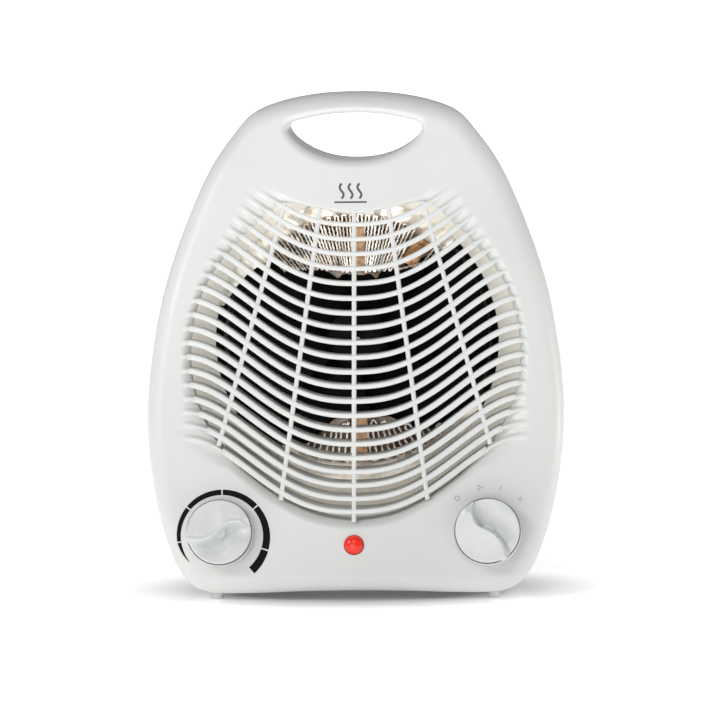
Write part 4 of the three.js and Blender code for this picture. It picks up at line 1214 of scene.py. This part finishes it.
def coil_copper():
    """Enamelled wire laid in rows."""
    s = Surface("coil_copper", Metallic=0.85)
    rows = s.node("ShaderNodeTexWave", [("Vector", s.place)], bands_direction="X", Scale=700.0, Distortion=0.6)
    lay = rows.outputs["Fac"]
    s.paint(s.mix(s.spread(s.noise(120, 4), 0.3, 0.7), (0.72, 0.4, 0.22), (0.5, 0.25, 0.13)))
    s.roughen(s.spread(lay, 0, 1, 0.45, 0.25))
    s.bump(lay, 0.00015)
    return s.material


def resistance_wire():
    """Nickel-chrome ribbon: bright where it is cold, browned by heat in patches."""
    s = Surface("heating_wire", Metallic=0.15)
    heat = s.spread(s.noise(38, 5, 0.6), 0.4, 0.68)
    fleck = s.spread(s.noise(1300, 3), 0.35, 0.65)
    tarnish = s.mix(fleck, (0.82, 0.75, 0.67), (0.66, 0.56, 0.47))
    bright = s.mix(fleck, (0.99, 0.98, 0.95), (0.93, 0.9, 0.86))
    s.paint(s.mix(heat, bright, tarnish))
    s.roughen(s.spread(s.noise(1000, 3), 0.3, 0.7, 0.3, 0.5))
    s.bump(s.noise(1800, 3), 0.00002)
    return s.material


def clear(name, first, second, tint, gloss, flow, rough, **sockets):
    """Clear plastic or glass, uneven in tint, gloss and flow, each by a noise of its own scale."""
    s = Surface(name, **sockets)
    s.paint(s.mix(s.spread(s.noise(tint, 3), 0.35, 0.65), first, second))
    s.roughen(s.spread(s.noise(gloss, 3), 0.3, 0.7, *rough))
    s.bump(s.noise(flow, 2), 0.00001)
    return s.material


def floor_paper():
    """White paper that glows, more so away from the object, so that the floor looks overexposed; under and round
    the object's footprint the glow is held low, a painted contact shadow.
    """
    s = Surface("floor_paper", Specular_IOR_Level=0.25)
    s.shader.inputs["Emission Color"].default_value = (1, 1, 1, 1)
    reach = s.length(s.place)
    # Painted contact shadow: the glow is almost nothing under the object's footprint and rises round it, then on
    # towards the far end.
    shadow_footprint = s.length(s.stretched((0.62, 1, 1)))
    near = s.maths("ADD", s.spread(shadow_footprint, 0.045, 0.08, 0.03, 0.62), s.spread(reach, 0.12, 0.3, 0, 0.4))
    glow = s.maths("ADD", near, s.spread(reach, 0.3, 1.0, 0, 0.4))
    s.tree.links.new(glow, s.shader.inputs["Emission Strength"])
    s.paint(s.mix(s.spread(s.noise(3, 3), 0.3, 0.7), (0.97, 0.97, 0.97), (0.96, 0.96, 0.96)))
    s.roughen(s.spread(s.noise(5, 3), 0.3, 0.7, 0.14, 0.2))
    return s.material


# ---------------------------------------------------------------- the pieces

COIL_COPPER = coil_copper()
HEATING_WIRE = resistance_wire()
LENS_RED = clear("lens_red", (0.98, 0.2, 0.12), (0.93, 0.15, 0.08), 260, 180, 700, (0.12, 0.24), IOR=1.45,
                 Coat_Weight=0.2, Coat_Roughness=0.1)
NEON_GLASS = clear("neon_glass", (0.95, 0.9, 0.84), (0.9, 0.82, 0.72), 300, 400, 500, (0.04, 0.12), IOR=1.5,
                   Transmission_Weight=0.8)


def dress(piece, material, body=None, replaces=()):
    """Gives a piece its material, attaches a new piece to its body and hides the CAD nodes it stands for."""
    piece.data.materials.clear()
    piece.data.materials.append(material)
    if body:
        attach(piece, body)
    if replaces:
        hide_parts(*replaces)


dress(front_case(), CASE_WHITE, "housing", ["front_shell"])
dress(rear_case(), REAR_WHITE, "housing", ["rear_shell"])
for dial in ("thermostat", "selector"):
    dress(knob(f"{dial}_knob", f"{dial}_dial_knob"), KNOB_WHITE, f"{dial}_dial", [f"{dial}_knob"])
dress(thermostat_scale(), PRINT_BLACK, "housing")
dress(selector_marks(), PRINT_GREY, "housing")
dress(heat_mark(), PRINT_SLATE, "housing")
dress(pilot_lens(), LENS_RED, "housing", ["pilot_lens"])
dress(duct_liner(), LINER_IVORY, "housing", ["duct_liner"])
dress(mica_board("upper_board", UPPER_EDGE, True), MICA_WHITE, "housing", ["upper_mica_board"])
dress(mica_board("lower_board", LOWER_EDGE, False), MICA_WHITE, "housing", ["lower_mica_board"])
upper = wire_path(-45, 44, 51, upper_inner, lambda angle: 66.2, False, (42, 43, 44, 45, 46, 47))
lower = wire_path(-26, 45, 23, lower_inner, lower_outer, True)
dress(heating_wire("upper_element", upper, 5), HEATING_WIRE, "housing", ["upper_heating_wire"])
dress(heating_wire("lower_element", lower, 6), HEATING_WIRE, "housing", ["lower_heating_wire"])
dress(mica_post("upper_post", "upper_mica_post", 6), MICA_BROWN, "housing", ["upper_mica_post"])
dress(mica_post("lower_post", "lower_mica_post"), MICA_BROWN, "housing", ["lower_mica_post"])
dress(cut_out(), CUT_OUT_TAN, "housing", ["thermal_cutout"])
dress(fan_shroud(), FAN_BLACK, "housing", ["fan_shroud"])
dress(impeller(), FAN_BLACK, "fan", ["fan_impeller"])

# The CAD nodes that are shown as they are, by the start of their names.
CARRIED_OVER = {
    "foot_": FOOT_GREY, "case_screw_": SCREW_STEEL, "cord_gland": GLAND_GREY, "thermal_fuse": TERMINAL_IVORY,
    "motor_shaft": STEEL, "motor_rotor": STEEL, "motor_stator": STEEL, "motor_coil": COIL_COPPER,
    "front_bearing_bracket": STEEL, "rear_bearing_bracket": STEEL, "front_bearing": BRONZE, "rear_bearing": BRONZE,
    "thermostat_spindle": SPINDLE_WHITE, "selector_spindle": SPINDLE_WHITE, "thermostat_body": BODY_BROWN,
    "selector_body": BODY_BLACK, "thermostat_bimetal_blade": STEEL, "thermostat_contact_arm": BRASS,
    "selector_terminal_": BRASS, "pilot_neon": NEON_GLASS, "terminal_block": TERMINAL_IVORY,
}
for node, piece in frame["nodes"].items():
    for start, material in CARRIED_OVER.items():
        if node.startswith(start) and not piece.hide_render:
            dress(piece, material)
            break

# ---------------------------------------------------------------- floor, light and camera


def stage_floor():
    mesh = bpy.data.meshes.new("studio_floor")
    sides = 96
    turns = np.linspace(0, 2 * math.pi, sides, endpoint=False)
    rings = [np.stack([r * np.cos(turns), r * np.sin(turns), np.zeros(sides)], axis=1) for r in (0.4, 2, 8, 30)]
    points = np.vstack([*rings, [[0, 0, 0]]])
    faces = grid_faces(4, sides) + [[i, (i + 1) % sides, 4 * sides] for i in range(sides)]
    mesh.from_pydata(points.tolist(), [], faces)
    floor = bpy.data.objects.new("studio_floor", mesh)
    bpy.context.scene.collection.objects.link(floor)
    mesh.materials.append(floor_paper())


def area_light(name, place, aim, size, watts, tint=(1, 1, 1)):
    lamp = bpy.data.lights.new(name, "AREA")
    lamp.shape = "DISK"
    lamp.size = size
    lamp.energy = watts
    lamp.color = tint
    light = bpy.data.objects.new(name, lamp)
    light.location = place
    light.rotation_euler = (Vector(aim) - Vector(place)).to_track_quat("-Z", "Y").to_euler()
    bpy.context.scene.collection.objects.link(light)


stage_floor()
CENTRE = (0, 0, 0.12)
area_light("key_left", (-1.5, -1.5, 1.25), CENTRE, 0.7, 13, (1, 1, 0.985))
area_light("side_right", (2.2, 0.15, 0.35), CENTRE, 0.7, 9.5, (1, 0.995, 0.96))
area_light("front", (-0.1, -1.9, 1.6), CENTRE, 0.8, 4.5, (0.97, 0.99, 1))
area_light("low_front", (-0.15, -0.75, 0.08), (0, 0, 0.03), 0.4, 0.82, (0.99, 1, 1))
area_light("top", (-0.4, -0.2, 1.8), CENTRE, 1.0, 1, (0.95, 0.98, 1))

# The duct's own lights light nothing else. The slats shade the element's, but not the liner's, so that its wall is
# lit as evenly as in the photo.
DUCT_LIGHTS = [
    ("element", ("upper_board", "lower_board", "upper_element", "lower_element", "upper_post", "lower_post",
                 "cut_out_disc"), (((1.3, -1.9, 0.42), 58), ((-1.5, -1.6, 0.42), 42))),
    ("liner", ("duct_funnel",), (((1.3, -1.9, 0.42), 17), ((-1.4, -1.6, -0.5), 18))),
]
for part, names, lamps in DUCT_LIGHTS:
    receivers = bpy.data.collections.new(f"{part}_pieces")
    for name in names:
        receivers.objects.link(bpy.data.objects[name])
    for number, (place, watts) in enumerate(lamps):
        name = f"{part}_light_{number}"
        area_light(name, place, CENTRE, 0.35, watts)
        linking = bpy.data.objects[name].light_linking
        linking.receiver_collection = receivers
        if part == "liner":
            linking.blocker_collection = receivers

world = bpy.data.worlds.new("studio")
world.use_nodes = True
world.node_tree.nodes["Background"].inputs["Color"].default_value = (1, 1, 1, 1)
world.node_tree.nodes["Background"].inputs["Strength"].default_value = 0.3
bpy.context.scene.world = world

VIEW_AZIMUTH = math.radians(3.1)
VIEW_ROLL = math.radians(-0.75)
VIEW_ELEVATION = math.radians(5.7)
VIEW_DISTANCE = 2.5
VIEW_WIDTH = 0.369  # width of the view at the object
VIEW_AIM = Vector((0.0031, -0.0244, 0.1212))

lens = bpy.data.cameras.new("camera")
lens.sensor_width = 36
lens.lens = lens.sensor_width * VIEW_DISTANCE / VIEW_WIDTH
camera = bpy.data.objects.new("camera", lens)
level = math.cos(VIEW_ELEVATION)
away = Vector((math.sin(VIEW_AZIMUTH) * level, -math.cos(VIEW_AZIMUTH) * level, math.sin(VIEW_ELEVATION)))
camera.location = VIEW_AIM + away * VIEW_DISTANCE
camera.rotation_euler = ((-away).to_track_quat("-Z", "Y") @ Quaternion((0, 0, 1), VIEW_ROLL)).to_euler()
bpy.context.scene.collection.objects.link(camera)
bpy.context.scene.camera = camera
bpy.context.scene.view_settings.view_transform = "Standard"
